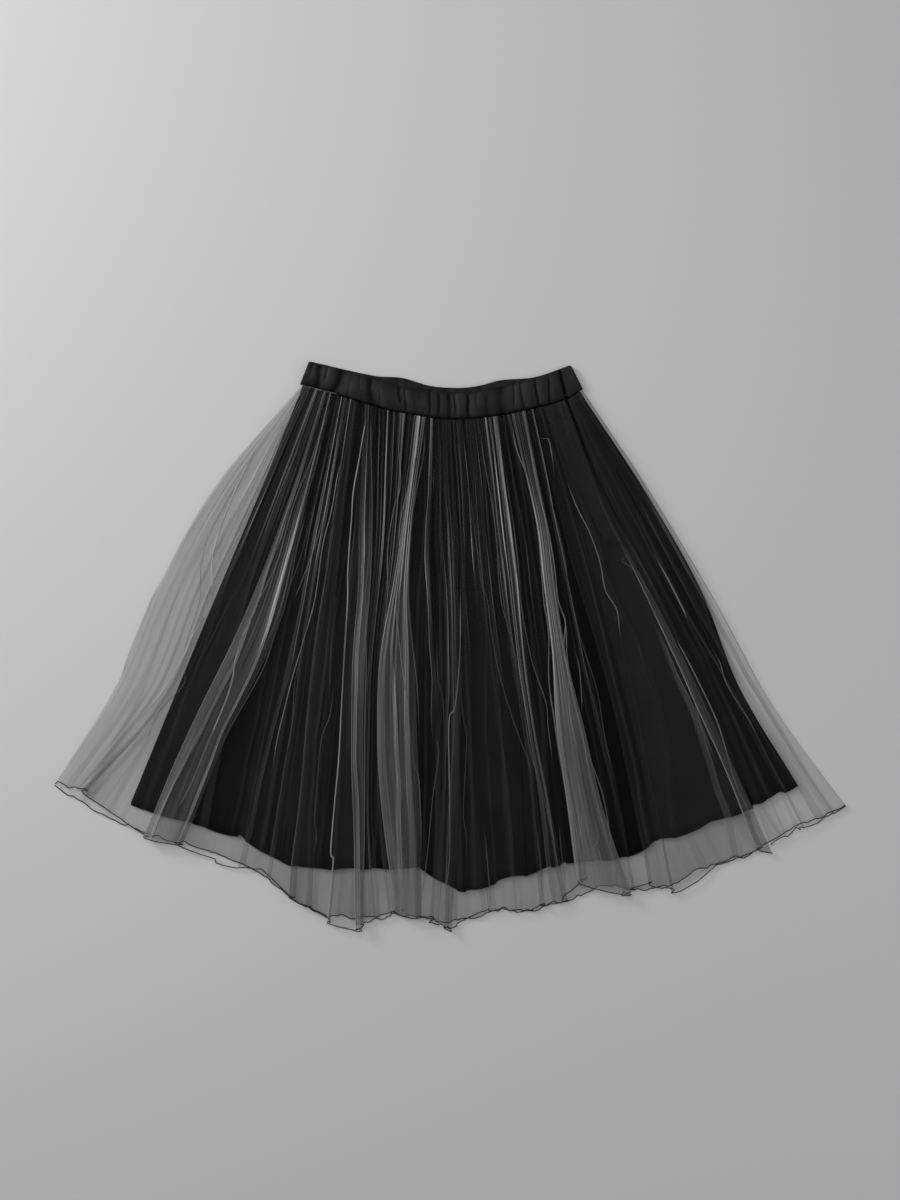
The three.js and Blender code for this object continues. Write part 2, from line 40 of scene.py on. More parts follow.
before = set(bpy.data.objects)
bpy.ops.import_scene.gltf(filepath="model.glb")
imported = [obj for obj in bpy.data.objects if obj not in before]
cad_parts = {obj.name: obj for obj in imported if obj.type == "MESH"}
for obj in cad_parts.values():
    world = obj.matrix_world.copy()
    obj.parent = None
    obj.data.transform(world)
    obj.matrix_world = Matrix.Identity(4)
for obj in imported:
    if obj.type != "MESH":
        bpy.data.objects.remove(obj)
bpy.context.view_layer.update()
LOG = logging.getLogger("skirt")

MM = 0.001

# Heights above the table
TULLE_UNDER = 6.4  # the front net where it lies on the underskirt
TULLE_LOW = 1.4  # the same where it lies on the back net
UNDER_FRONT = 2.7
UNDER_BACK = 1.4
BACK_NET = 0.5
FACING = 4.5
WAIST_TULLE = 5.4
WAIST_UNDER = 3.4
EDGE_CLEAR = 7.0  # how far past the underskirt's edge the net is still held up
EDGE_RUN = 30.0  # distance in which it then comes down
SPRING = 15.0  # distance over which the gathers spring up from the waist seam
OPENING_TOP = 306.3  # y at which the opening leaves the waistband
OPENING_END = 131.0  # y at which it ends
OPENING_SHUT = 1.02  # share of its length by which its edges have met
OPENING_MEETS = 0.06  # share of its length in which they come together
OPENING_GAPE = (1.35, 0.95)  # how far they are apart at its top and its foot, in parts of a line's figure

ROWS_AT_WAIST = 0.3  # how much closer together the rows of points lie near the waist
FALL_CLOTH = 1.05  # millimetres of cloth in each millimetre of the fall
THREAD_SIDES = 6
FOLD_POINTS = 8  # across the right-hand fold of the backs, with its two ends
STEEPEST = 6.0  # most layers that a steep stretch of cloth counts as
TINY = 1e-9  # keeps a division from meeting zero


def ease(f: Array) -> Array:
    """A smooth step: 3f^2 - 2f^3 of f kept from 0 to 1."""
    c = np.clip(f, 0.0, 1.0)
    return c * c * (3 - 2 * c)


def mix(a, b, f):
    """The value a share f of the way from a to b."""
    return a + (b - a) * f


def bell(f: Array) -> Array:
    """A hump: 1 at 0, about a third at 1 and next to nothing at 2, both ways."""
    return np.exp(-(f * f))


def run_along(path: Array) -> Array:
    """Distance of each of a path's points from its start, along the path."""
    return np.concatenate([[0], np.cumsum(np.linalg.norm(np.diff(path, axis=0), axis=1))])


def shares_down(rows: int) -> Array:
    """Shares of the fall for a number of rows, a little closer together near the waist."""
    f = np.linspace(0, 1, rows)
    return mix(f, f * f, ROWS_AT_WAIST)


def curve_through(stops: Array, s: Array) -> Array:
    """A Catmull-Rom curve through evenly numbered stops.

    Args:
        stops: n numbers, or n x 2 points.
        s: where the curve is wanted, from 0 at the first stop to n - 1 at the last.

    Returns:
        The curve's numbers or points.
    """
    padded = np.concatenate([[2 * stops[0] - stops[1]], stops, [2 * stops[-1] - stops[-2]]])
    k = np.clip(s.astype(int), 0, len(stops) - 2)
    f = s - k if stops.ndim == 1 else (s - k)[:, None]
    a, b, c, d = (padded[k + i] for i in range(4))
    return 0.5 * (2 * b + (c - a) * f + (2 * a - 5 * b + 4 * c - d) * f**2 + (3 * (b - c) + d - a) * f**3)


def along(points: list, x: Array) -> Array:
    """A smooth line y(x) through a short list of points: a cubic Hermite with slopes from the neighbours.

    Args:
        points: pairs x, y, in order of x.
        x: where the line is wanted, in an array of any shape.

    Returns:
        The line's y, in an array of the same shape.
    """
    px, py = np.array(points, float).T
    before = np.maximum(np.arange(len(px)) - 1, 0)
    after = np.minimum(np.arange(len(px)) + 1, len(px) - 1)
    slope = (py[after] - py[before]) / (px[after] - px[before])
    i = np.clip(np.searchsorted(px, x, side="right") - 1, 0, len(px) - 2)
    width = px[i + 1] - px[i]
    f = np.clip((x - px[i]) / width, 0, 1)
    g, h = f * f, f * f * f
    ends = (2 * h - 3 * g + 1) * py[i] + (3 * g - 2 * h) * py[i + 1]
    return ends + width * ((h - 2 * g + f) * slope[i] + (h - g) * slope[i + 1])


FRONT_SEAM = [(-185.6, 323.8), (-141, 311.5), (-100, 298.8), (-60, 288.8), (0, 281), (60, 285.4), (105, 295),
              (144.4, 306.3), (163.1, 317.5)]
BACK_SEAM = [(-185.6, 323.8), (-100, 304), (-60, 299), (0, 289), (60, 297), (105, 301.5), (163.1, 317.5)]
FRONT_TOP = [(-174.4, 353.8), (-94.4, 333.8), (-56.9, 321.6), (-13.1, 317.8), (24.4, 314.6), (49.4, 320),
             (86.9, 328.5), (128.1, 340.2), (148.1, 348.8)]
BACK_TOP = [(-174.4, 353.8), (-94.4, 336), (-60, 333.4), (-25, 323.5), (12, 321), (37, 324), (62, 330.5),
            (105, 334.5), (148.1, 348.8)]


class Fold(Enum):
    """How the cloth goes on at a fold line."""

    SOFT = "soft"  # a soft ridge or trough, with no tuck
    RISE = "rise"  # it tucks back on itself and comes up: the left edge of a doubled band
    FALL = "fall"  # it goes down and tucks back: the right edge of a doubled band


@dataclass(frozen=True)
class FoldLine:
    """One fold line from the waist to the hem, and the panel of cloth between it and the next one."""

    waist: float  # x at the waist, then at a quarter, half and three quarters of the fall, and at the hem
    upper: float
    middle: float
    lower: float
    hem: float
    end: float  # y at the hem
    fold: Fold = Fold.SOFT
    tuck: float = 0.0  # how far the cloth doubles back, at the hem
    gathers: int = 2  # fine gathers up to the next line
    level: float = 0.0  # how high the panel up to the next line lies, over what carries it
    top: float = 1.0  # layers held by the panel's finest gathers at the waist; for the underskirt, its painted light
    foot: float = 1.0  # the same at the hem
    reach: float = 0.6  # share of the fall that a usual gather reaches
    bow: float = 3.0  # how far the panel's hem bows out
    long: int = 1  # gathers that reach the hem
    shade: float = 0.0  # how much denser the panel is on its right than on its left
    bright: float = 1.6  # layers that the bunched edge of a fold adds
    starts: float = -1.0  # share of the fall at which the fold begins
    parted: float = 0.0  # how far the cloth stands off the line along the opening

    def x(self, t: Array) -> Array:
        """x at the shares t of the fall, with the gape of the opening where the line is parted."""
        stations = np.array([self.waist, self.upper, self.middle, self.lower, self.hem], float)
        down = t * (OPENING_TOP - self.end) / (OPENING_TOP - OPENING_END)
        gape = mix(*OPENING_GAPE, np.minimum(down, 1)) * ease((OPENING_SHUT - down) / OPENING_MEETS)
        return curve_through(stations, t * (len(stations) - 1)) + self.parted * gape

    def y(self, t: Array, seam: list) -> Array:
        """y at the shares t of the fall: straight from the waist seam to the line's end."""
        return mix(along(seam, np.array(self.waist)), self.end, t)


S, R, F = Fold.SOFT, Fold.RISE, Fold.FALL

# The front net, left to right: x at the five stations, y at the hem, the fold, its tuck, and the panel's
# gathers, level, layers at waist and hem, reach, bow and long gathers.
NET_FRONT = [
    FoldLine(-185.6, -293, -364, -417, -494.4, -173.8, S, 0, 5, 0.0, 1.2, 1.1, 1.2, 2, 4, bright=2.0),
    FoldLine(-180.6, -242, -299, -353, -458, -182.5, R, 7, 4, 2.0, 1.3, 1.2, 0.8, 3, 2, shade=-0.2, bright=3),
    FoldLine(-158, -201, -254, -321, -384, -241.3, R, 12, 2, 7.0, 1.5, 2.6, 0.7, 2, 1, shade=-0.15),
    FoldLine(-147, -179, -211, -277, -334, -250, F, 12, 3, 0.0, 0.8, 0.8, 0.5, 4, 1, bright=1.0),
    FoldLine(-132, -157, -182, -204, -236, -279, S, 0, 2, 1.6, 1.0, 1.0, 0.7, 5, 1, shade=0.3),
    FoldLine(-123, -147, -169, -184, -201, -315, R, 8, 1, 4.5, 1.2, 1.5, 0.6, 2, 1, shade=-0.3),
    FoldLine(-117, -133, -148, -162, -172, -325, F, 6, 1, 0.0, 0.8, 1.0, 0.5, 2, 1),
    FoldLine(-109, -121, -132, -141, -153, -345, R, 4, 1, 3.0, 1.3, 1.5, 0.8, 1, 0, bright=3.5),
    FoldLine(-105, -112, -121, -123, -118, -353.8, R, 7, 1, 7.0, 2.0, 2.8, 0.9, 1, 1, bright=2.2),
    FoldLine(-97, -99, -106, -108, -110, -347.5, F, 10, 5, 0.0, 0.7, 0.9, 0.5, 2, 1),
    FoldLine(-73, -80, -96, -99, -91, -342.5, S, 0, 6, 0.8, 0.9, 1.0, 0.6, 2, 2, shade=0.2),
    FoldLine(-42, -61, -87, -89, -69, -331.3, R, 11, 2, 6.5, 2.6, 2.7, 0.7, 3, 1, shade=-0.2),
    FoldLine(-31, -49, -46, -40, -37, -337.5, F, 10, 2, 0.0, 0.7, 0.8, 0.6, 2, 0, bright=1.0),
    FoldLine(-20, -18, -13, -16, -24, -343.8, R, 4, 2, 2.0, 0.8, 1.1, 0.8, 2, 0, shade=0.3, bright=2.2),
    FoldLine(-9, 0, 5, -2, -9, -351.3, R, 5, 1, 5.5, 0.8, 1.5, 0.9, 1, 0, bright=1.6),
    FoldLine(-3, 8, 13, 8, 3, -352.5, F, 6, 2, 0.0, 0.7, 0.9, 0.6, 2, 1, bright=1.0),
    FoldLine(3, 14, 20, 31, 49, -328.8, S, 0, 8, 1.6, 0.9, 0.95, 0.4, 2, 1),
    FoldLine(41, 58, 77, 99, 112, -325, R, 7, 3, 4.5, 1.7, 1.2, 0.6, 3, 1, shade=0.3, bright=2.2),
    FoldLine(59, 77, 92, 116, 144, -318.8, F, 7, 3, 0.0, 0.8, 0.9, 0.6, 1, 1),
    FoldLine(76, 107, 124, 137, 159, -293.8, R, 12, 2, 8.0, 2.4, 3.5, 0.8, 4, 1, shade=-0.1, bright=1.8),
    FoldLine(93, 121, 144, 179, 222, -311.3, F, 10, 2, 0.0, 0.9, 0.95, 0.4, 1, 0, bright=1.2),
    FoldLine(103, 136, 166, 202, 229, -305, F, 3, 0, 0.0, 0.9, 0.1, 0.4, 0, 0, bright=0.6, starts=0.45),
    FoldLine(106, 139, 184, 219, 250, -298.8, R, 4, 1, 2.4, 1.0, 1.3, 0.4, 2, 0, bright=1.0),
    FoldLine(122, 171, 213, 243, 277, -308.8, R, 3, 0, 0.8, 1.5, 1.55, 0.4, 5, 0, bright=2.6, starts=0.05),
    FoldLine(133, 183, 250, 303, 334, -276.3, S, 0, 1, 0.0, 1.55, 1.5, 0.3, 3, 1, starts=0.45),
    FoldLine(141, 191, 262, 323, 383, -255, R, 8, 1, 3.0, 1.5, 2.5, 0.5, 1, 1, bright=2.2, starts=0.32),
    FoldLine(144.4, 197, 270.6, 337, 400.6, -258.8, S, parted=-1.5),
]

# The back net comes round the right-hand fold, so its upper layer runs from there to the side seam.
NET_RETURN = [
    FoldLine(163.1, 249.4, 327, 399.4, 492.5, -201.3, S, 0, 3, 0, 1.0, 0.8, 0.5, 3, 1, bright=3, starts=0.2),
    FoldLine(153, 222, 290.6, 369, 433, -227.5, F, 5, 2, 1.6, 1.5, 1.3, 0.6, 2, 1, bright=3, starts=0.25),
    FoldLine(144.4, 197, 270.6, 337, 400.6, -248, S, parted=1.5),
]
NET_BACK_HEM = [(-494.4, -173.8), (-450, -201), (-382, -234), (-300, -256), (-235, -289), (-188, -325),
                (-125, -341), (-63, -336), (0, -344), (62, -334), (124, -325), (187, -304), (250, -304),
                (312, -279), (368, -262), (400, -244), (433, -227.5), (494.4, -201.3)]

# The underskirt's front. In place of the layers it has painted light: the shares of the satin's lit colour
# that it shows at the waist and at the hem, so that its flat stretches are painted to shine and its gathers
# lie in painted shade.
UNDER_LINES = [
    FoldLine(-184.4, -237, -292, -346, -399.4, -197.5, S, 0, 2, top=0.3, foot=0.75),
    FoldLine(-163, -207, -251, -288, -323, -221.3, S, 0, 2, top=0.2, foot=0.4),
    FoldLine(-138, -173, -207, -236, -263, -237.5, S, 0, 3, top=0.15, foot=0.5),
    FoldLine(-111, -136, -161, -182, -201, -273.8, S, 0, 4, top=0.1, foot=0.4),
    FoldLine(-63, -78, -92, -103, -113, -278.8, S, 0, 3, top=0.1, foot=0.35),
    FoldLine(-26, -29, -33, -37, -41, -276.3, S, 0, 2, top=0.1, foot=0.3),
    FoldLine(-11, -9, -8, -7, -6, -297.5, S, 0, 2, top=0.1, foot=0.35),
    FoldLine(6, 11, 14, 18, 21, -306.3, S, 0, 2, top=0.1, foot=0.35),
    FoldLine(34, 43, 51, 57, 63, -292.5, S, 0, 4, top=0.1, foot=0.3),
    FoldLine(74, 94, 112, 127, 141, -271.3, S, 0, 3, top=0.1, foot=0.15),
    FoldLine(102, 137, 162, 196, 222, -262.5, S, 0, 1, top=0.1, foot=0.01, shade=0.2),
    FoldLine(117, 160, 196, 230, 258, -243.8, S, 0, 1, top=0.8, foot=0.8, shade=0.2),
    FoldLine(132, 179, 238, 284, 324, -221.3, S, 0, 1, top=0.95, foot=0.9),
    FoldLine(144.4, 197, 265.6, 327, 378, -200, S, parted=-1.2),
]
# The same painted light and shade for the back's upper layer, from the right-hand fold to the opening.
UNDER_RETURN = [
    FoldLine(160, 240.6, 310.6, 359.4, 433, -176.3, S, 0, 2, top=0.5, foot=0.3),
    FoldLine(152, 222, 290, 347, 408, -185, S, 0, 2, top=0.9, foot=0.3),
    FoldLine(144.4, 197, 265.6, 327, 378, -200, S, parted=1.2),
]
UNDER_HEM = [(line.hem, line.end) for line in UNDER_LINES + UNDER_RETURN[1::-1]]


@dataclass(frozen=True)
class Ridge:
    """A thin ridge into which the net is pinched: it shows as a light line."""

    layers: float  # of net in it
    width: float
    path: Array  # n x 2: the points that it passes


# The net's ridges, from the left edge to the right, and then those of the hem's feet: layers, width, and the
# x and y of each point in turn
RIDGES = [Ridge(layers, width, np.reshape(path, (-1, 2))) for layers, width, *path in (
    (12, 1.7, -236, 256, -263, 206, -286, 150, -297, 106, -298, 56, -322, 10, -331, -11, -359, -58,
     -401, -108),
    (8, 1.4, -294, 156, -311, 106, -313, 56, -327, 10, -332, -12),
    (5, 1.6, -331, -11, -330, -36, -334, -52, -366, -88, -387, -150),
    (4, 2.6, -359, 88, -376, 50, -401, -11, -416, -56),
    (8, 1.4, -404, -119, -423, -140, -444, -162),
    (3, 2.6, -254, 88, -276, 51, -301, 1, -318, -31),
    (6, 1.8, -149, 301, -157, 276, -173, 230, -189, 191, -201, 156, -214, 106, -236, 59, -259, 16,
     -281, -44, -303, -96, -351, -194),
    (9, 2.2, -234, 56, -262, 1, -274, -55, -301, -121, -324, -175, -343, -212),
    (6, 1.3, -176, 181, -187, 135, -201, 91, -208, 56, -229, -20, -262, -82, -297, -145, -314, -189,
     -334, -244),
    (9, 1.2, -133, 241, -141, 209, -148, 168, -159, 124, -169, 56, -183, 6, -197, -41, -207, -81,
     -216, -119, -226, -181),
    (7, 1.2, -139, 292, -143, 238, -151, 191, -166, 132, -187, 75, -201, 44),
    (7, 1.3, -156, 276, -166, 230, -182, 175, -193, 131),
    (6, 1.3, -178, 268, -201, 219, -223, 162, -241, 112),
    (5, 1.2, -162, 206, -177, 144, -194, 88, -213, 44),
    (5, 1.8, -144, 56, -149, -12, -151, -82),
    (5, 1.3, -179, 18, -193, -44, -197, -94, -204, -151),
    (6, 1.3, -144, -19, -149, -82, -161, -119, -167, -189, -169, -216, -167, -240, -171, -278),
    (11, 1.5, -99, 301, -108, 265, -114, 230, -121, 191, -123, 159, -126, 121, -128, 86, -128, 56,
     -132, -12, -136, -82, -139, -140, -144, -194, -149, -256, -146, -265, -147, -281, -153, -341,
     -156, -351),
    (8, 1.4, -99, 294, -99, 256, -98, 206, -98, 156, -102, 106, -106, 56, -105, -20, -107, -105,
     -107, -194, -108, -269, -112, -325, -114, -351),
    (6, 1.2, -116, 135, -108, 108, -108, 61, -109, 6),
    (8, 1.2, -69, 284, -62, 206, -71, 168, -78, 121, -79, 56, -87, -31, -89, -88, -91, -194),
    (6, 1.0, -91, 34, -101, -20, -103, -48, -106, -88),
    (8, 1.3, -41, 285, -41, 249, -51, 202, -62, 156, -64, 110, -68, 56, -63, -1, -54, -72, -47, -140,
     -40, -164, -38, -194, -34, -305),
    (7, 1.2, -34, 285, -33, 244, -42, 194, -51, 144, -52, 100, -54, 56, -47, -1, -41, -59, -39, -134),
    (6, 1.0, -21, 249, -21, 206, -21, 168),
    (7, 1.1, -4, 178, -3, 145, -2, 110, -1, 69),
    (5, 1.0, -59, 276, -62, 214),
    (5, 1.0, -13, 281, -12, 219, -13, 156, -16, 94),
    (6, 1.0, 8, 276, 13, 219, 16, 156, 19, 94),
    (5, 1.4, -17, 34, -16, -36, -9, -72, -7, -135),
    (9, 1.4, 12, 106, 12, -1, 6, -74, -2, -96, -1, -189, -1, -259, -3, -281, -11, -351),
    (6, 1.2, -21, -104, -15, -136, -22, -189, -29, -262, -39, -340),
    (5, 1.2, 17, -29, 13, -55, 16, -91, 20, -119, 16, -208, 20, -240, 20, -298),
    (5, 1.4, 23, 214, 27, 168, 33, 121, 39, 75, 46, 56, 52, 10, 64, -48, 84, -110, 99, -151, 102, -189),
    (6, 1.0, 28, 276, 33, 238),
    (6, 1.4, 36, 276, 42, 230, 53, 168, 58, 121, 63, 56, 76, 8, 89, -55, 96, -105),
    (7, 1.2, 89, -64, 99, -129, 116, -189, 133, -265),
    (7, 1.1, 59, 276, 66, 214, 69, 168, 77, 121, 86, 61, 94, 15, 103, -25, 119, -72, 122, -105, 133, -189),
    (8, 1.5, 77, 285, 81, 249, 98, 202, 107, 156, 113, 99, 116, 56, 122, 15, 123, -48, 131, -105,
     142, -189),
    (10, 1.3, 93, 285, 99, 244, 109, 191, 121, 145, 129, 99, 134, 56, 143, 29, 141, -1, 146, -36, 149, -88,
     157, -124, 164, -156),
    (8, 1.2, 99, 288, 112, 260, 122, 256, 126, 238, 129, 214, 129, 195),
    (6, 1.2, 112, 216, 130, 162, 142, 110, 148, 61),
    (10, 1.2, 138, 56, 144, 21, 145, -13, 153, -64, 162, -96),
    (8, 1.1, 147, 3, 159, -20, 163, -64, 163, -106),
    (5, 1.2, 153, 56, 160, 15, 182, -55, 193, -119, 209, -189),
    (7, 1.4, 159, -82, 168, -126, 190, -189, 201, -256, 213, -318),
    (9, 1.4, 158, -180, 162, -215, 160, -242, 157, -270, 151, -286),
    (9, 1.3, 172, -182, 181, -222, 183, -245, 175, -252, 172, -272),
    (7, 1.2, 164, -204, 169, -238, 176, -252),
    (8, 1.4, 141, 215, 148, 195, 159, 168, 171, 145, 181, 119, 187, 99, 193, 68, 207, 44, 211, 14,
     218, -9),
    (6, 1.1, 170, 50, 178, 15),
    (4, 1.1, 226, 44, 238, -14, 249, -56),
    (6, 1.2, 217, 130, 219, 118, 214, 105, 222, 99, 234, 89, 246, 68, 259, 46, 276, 19),
    (8, 1.5, 276, 15, 290, -9, 311, -50, 334, -101, 354, -169, 368, -199, 388, -242),
    (6, 2.4, 256, 41, 272, 0, 299, -56, 313, -101, 341, -169),
    (11, 1.3, 239, 137, 267, 89, 290, 44, 297, 26),
    (8, 1.1, 316, 8, 334, -18, 343, -46, 359, -74, 376, -101, 389, -138),
    (7, 1.2, 208, 256, 238, 205, 259, 160),
    (5, 1.2, -62, -272, -60, -330),
    (6, 1.2, 39, -194, 48, -293, 50, -332),
    (6, 1.2, 103, -194, 112, -275, 114, -323),
    (6, 1.2, 133, -194, 139, -265, 146, -316),
    (5, 1.2, 238, -236, 252, -298),
    (12, 2.4, -158, -350, -136, -352, -114, -351),
    (12, 2.4, -15, -350, 2, -352, 18, -351),
    (8, 1.8, -40, -339, -15, -342),
)]


def outside_underskirt(x: Array, y: Array) -> Array:
    """How far points lie outside the underskirt in plan, in millimetres, negative inside."""
    gaps = [along(UNDER_HEM, x) - y]
    for line, side in ((UNDER_LINES[0], -1), (UNDER_RETURN[0], 1)):
        top = float(along(FRONT_SEAM, np.array(line.waist)))
        t = np.clip((y - top) / (line.end - top), 0, 1)
        gaps.append(side * (x - line.x(t)))
    return np.maximum.reduce(gaps)


def sprung(y: Array, waist: float, below: float) -> Array:
    """Height of what carries a layer, from that at the waist seam to that below it."""
    return mix(waist, below, np.clip((y[:1] - y) / SPRING, 0, 1))


def net_support(x: Array, y: Array) -> Array:
    """Height of what carries the front net: the underskirt's top, and past its edge the back net."""
    clear = ease((outside_underskirt(x, y) - EDGE_CLEAR) / EDGE_RUN)
    return mix(sprung(y, WAIST_TULLE, TULLE_UNDER), TULLE_LOW, clear)


def lattice_noise(rng: np.random.Generator, rows: int, columns: int, down: int, across: int) -> Array:
    """A smooth random field from -1 to 1: a coarse lattice of numbers, eased from each to the next both ways.

    Args:
        rng: source of the lattice's numbers.
        rows, columns: size of the field.
        down, across: cells of the lattice each way.

    Returns:
        The field, rows by columns.
    """
    lattice = rng.uniform(-1, 1, (down + 2, across + 2))
    r = np.linspace(0, down, rows)[:, None]
    c = np.linspace(0, across, columns)[None, :]
    ri, ci = r.astype(int), c.astype(int)
    rf, cf = ease(r - ri), ease(c - ci)
    top = mix(lattice[ri, ci], lattice[ri, ci + 1], cf)
    low = mix(lattice[ri + 1, ci], lattice[ri + 1, ci + 1], cf)
    return mix(top, low, rf)


def grid_quads(index: Array) -> Array:
    """The quads, m x 4, between the numbered vertices of a grid."""
    corners = (index[:-1, :-1], index[1:, :-1], index[1:, 1:], index[:-1, 1:])
    return np.stack(corners, axis=-1).reshape(-1, 4)


@dataclass
class Cloth:
    """A cloth surface on a grid: rows run from the waist to the hem, columns across it."""

    points: Array  # rows x columns x 3, in millimetres
    uv: Array  # rows x columns x 2: millimetres of cloth across and down
    fullness: Array  # rows x columns: layers of net; on black cloth, its share of painted light and shade
    gathered: Array = None  # rows x columns: how finely it is gathered, from 0 to 1, or nothing for 0

    def mesh(self, name: str, closed: bool = False) -> Object:
        """A Blender object with the cloth's quads, its UV map and its two attributes.

        Args:
            name: the piece's name.
            closed: whether the last column joins the first.

        Returns:
            The object, linked to the scene.
        """
        rows, columns = self.points.shape[:2]
        index = np.arange(rows * columns).reshape(rows, columns)
        if closed:
            index = np.concatenate([index, index[:, :1]], axis=1)
        gathered = np.zeros((rows, columns)) if self.gathered is None else self.gathered
        return quad_object(name, self.points.reshape(-1, 3) * MM, grid_quads(index), self.uv.reshape(-1, 2),
                           {"fullness": self.fullness, "gathered": gathered})


def quad_object(name: str, points: Array, quads: Array, uv: Array = None, numbers: dict = None) -> Object:
    """A smooth mesh object from arrays.

    Args:
        name: the object's name.
        points: n x 3, in metres.
        quads: m x 4 vertex numbers.
        uv: n x 2, or nothing.
        numbers: arrays of n numbers by the names of their attributes, or nothing.

    Returns:
        The object, linked to the scene.
    """
    mesh = bpy.data.meshes.new(name)
    mesh.vertices.add(len(points))
    mesh.vertices.foreach_set("co", points.astype(np.float32).ravel())
    mesh.loops.add(quads.size)
    mesh.loops.foreach_set("vertex_index", quads.astype(np.int32).ravel())
    mesh.polygons.add(len(quads))
    mesh.polygons.foreach_set("loop_start", np.arange(0, quads.size, 4, dtype=np.int32))
    mesh.polygons.foreach_set("use_smooth", np.ones(len(quads), bool))
    mesh.update(calc_edges=True)
    mesh.validate()
    if uv is not None:
        layer = mesh.uv_layers.new(name="cloth")
        layer.data.foreach_set("uv", uv[quads.ravel()].astype(np.float32).ravel())
    for label, values in (numbers or {}).items():
        attribute = mesh.attributes.new(label, "FLOAT", "POINT")
        attribute.data.foreach_set("value", np.asarray(values, np.float32).ravel())
    thing = bpy.data.objects.new(name, mesh)
    bpy.context.scene.collection.objects.link(thing)
    return thing


@dataclass(frozen=True)
class Gathers:
    """How the fine gathers of a panel vary. A pair holds the least and the most of an even spread."""

    margin: float = 0.08  # share of the panel that stays free at a tuck
    stray: float = 0.28  # how far a gather stays off its even place, in parts of the spacing
    sway: float = 0.2  # how far it wanders slowly down the fall, in the same parts
    shiver: float = 0.05  # and how far quickly
    dies: tuple = (0.35, 2.2)  # how far it comes down, in parts of the panel's reach
    die_run: float = 0.3  # share of the fall in which it dies out
    never: float = 3.0  # share of the fall past which it would die, if it reaches the hem
    size: tuple = (0.4, 1.0)  # height, in parts of the tallest
    near: tuple = (1.2, 2.8)  # width at the waist
    far: tuple = (2.5, 8.0)  # width at the hem
    faded: float = 0.3  # part of its width that is left where it has died out
    uneven: float = 0.25  # part of its width that comes and goes down the fall
    widest: float = 0.55  # part of the spacing that it may fill
    sharpest: float = 0.06  # part of the spacing that half the width of its edges may fill
    layers: tuple = (0.5, 1.5)  # that it adds
    ground: tuple = (0.8, 1.2)  # layers of the cloth beside it
    patchy: float = 0.3  # part of the line along its crest that comes and goes
    rises: tuple = (0.0, 1.0, 0.97, 0.85, 0.6, 0.1)  # its section, from the foot of its steep side
    at_turn: tuple = (0.012, 0.03, 0.06)  # columns beside a turn, in shares of the panel
    between: tuple = (0.3, 0.65)  # columns between two gathers, in shares of the gap
    before_turn: tuple = (0.5, 0.8, 0.93, 0.98)  # columns between the last gather and a turn


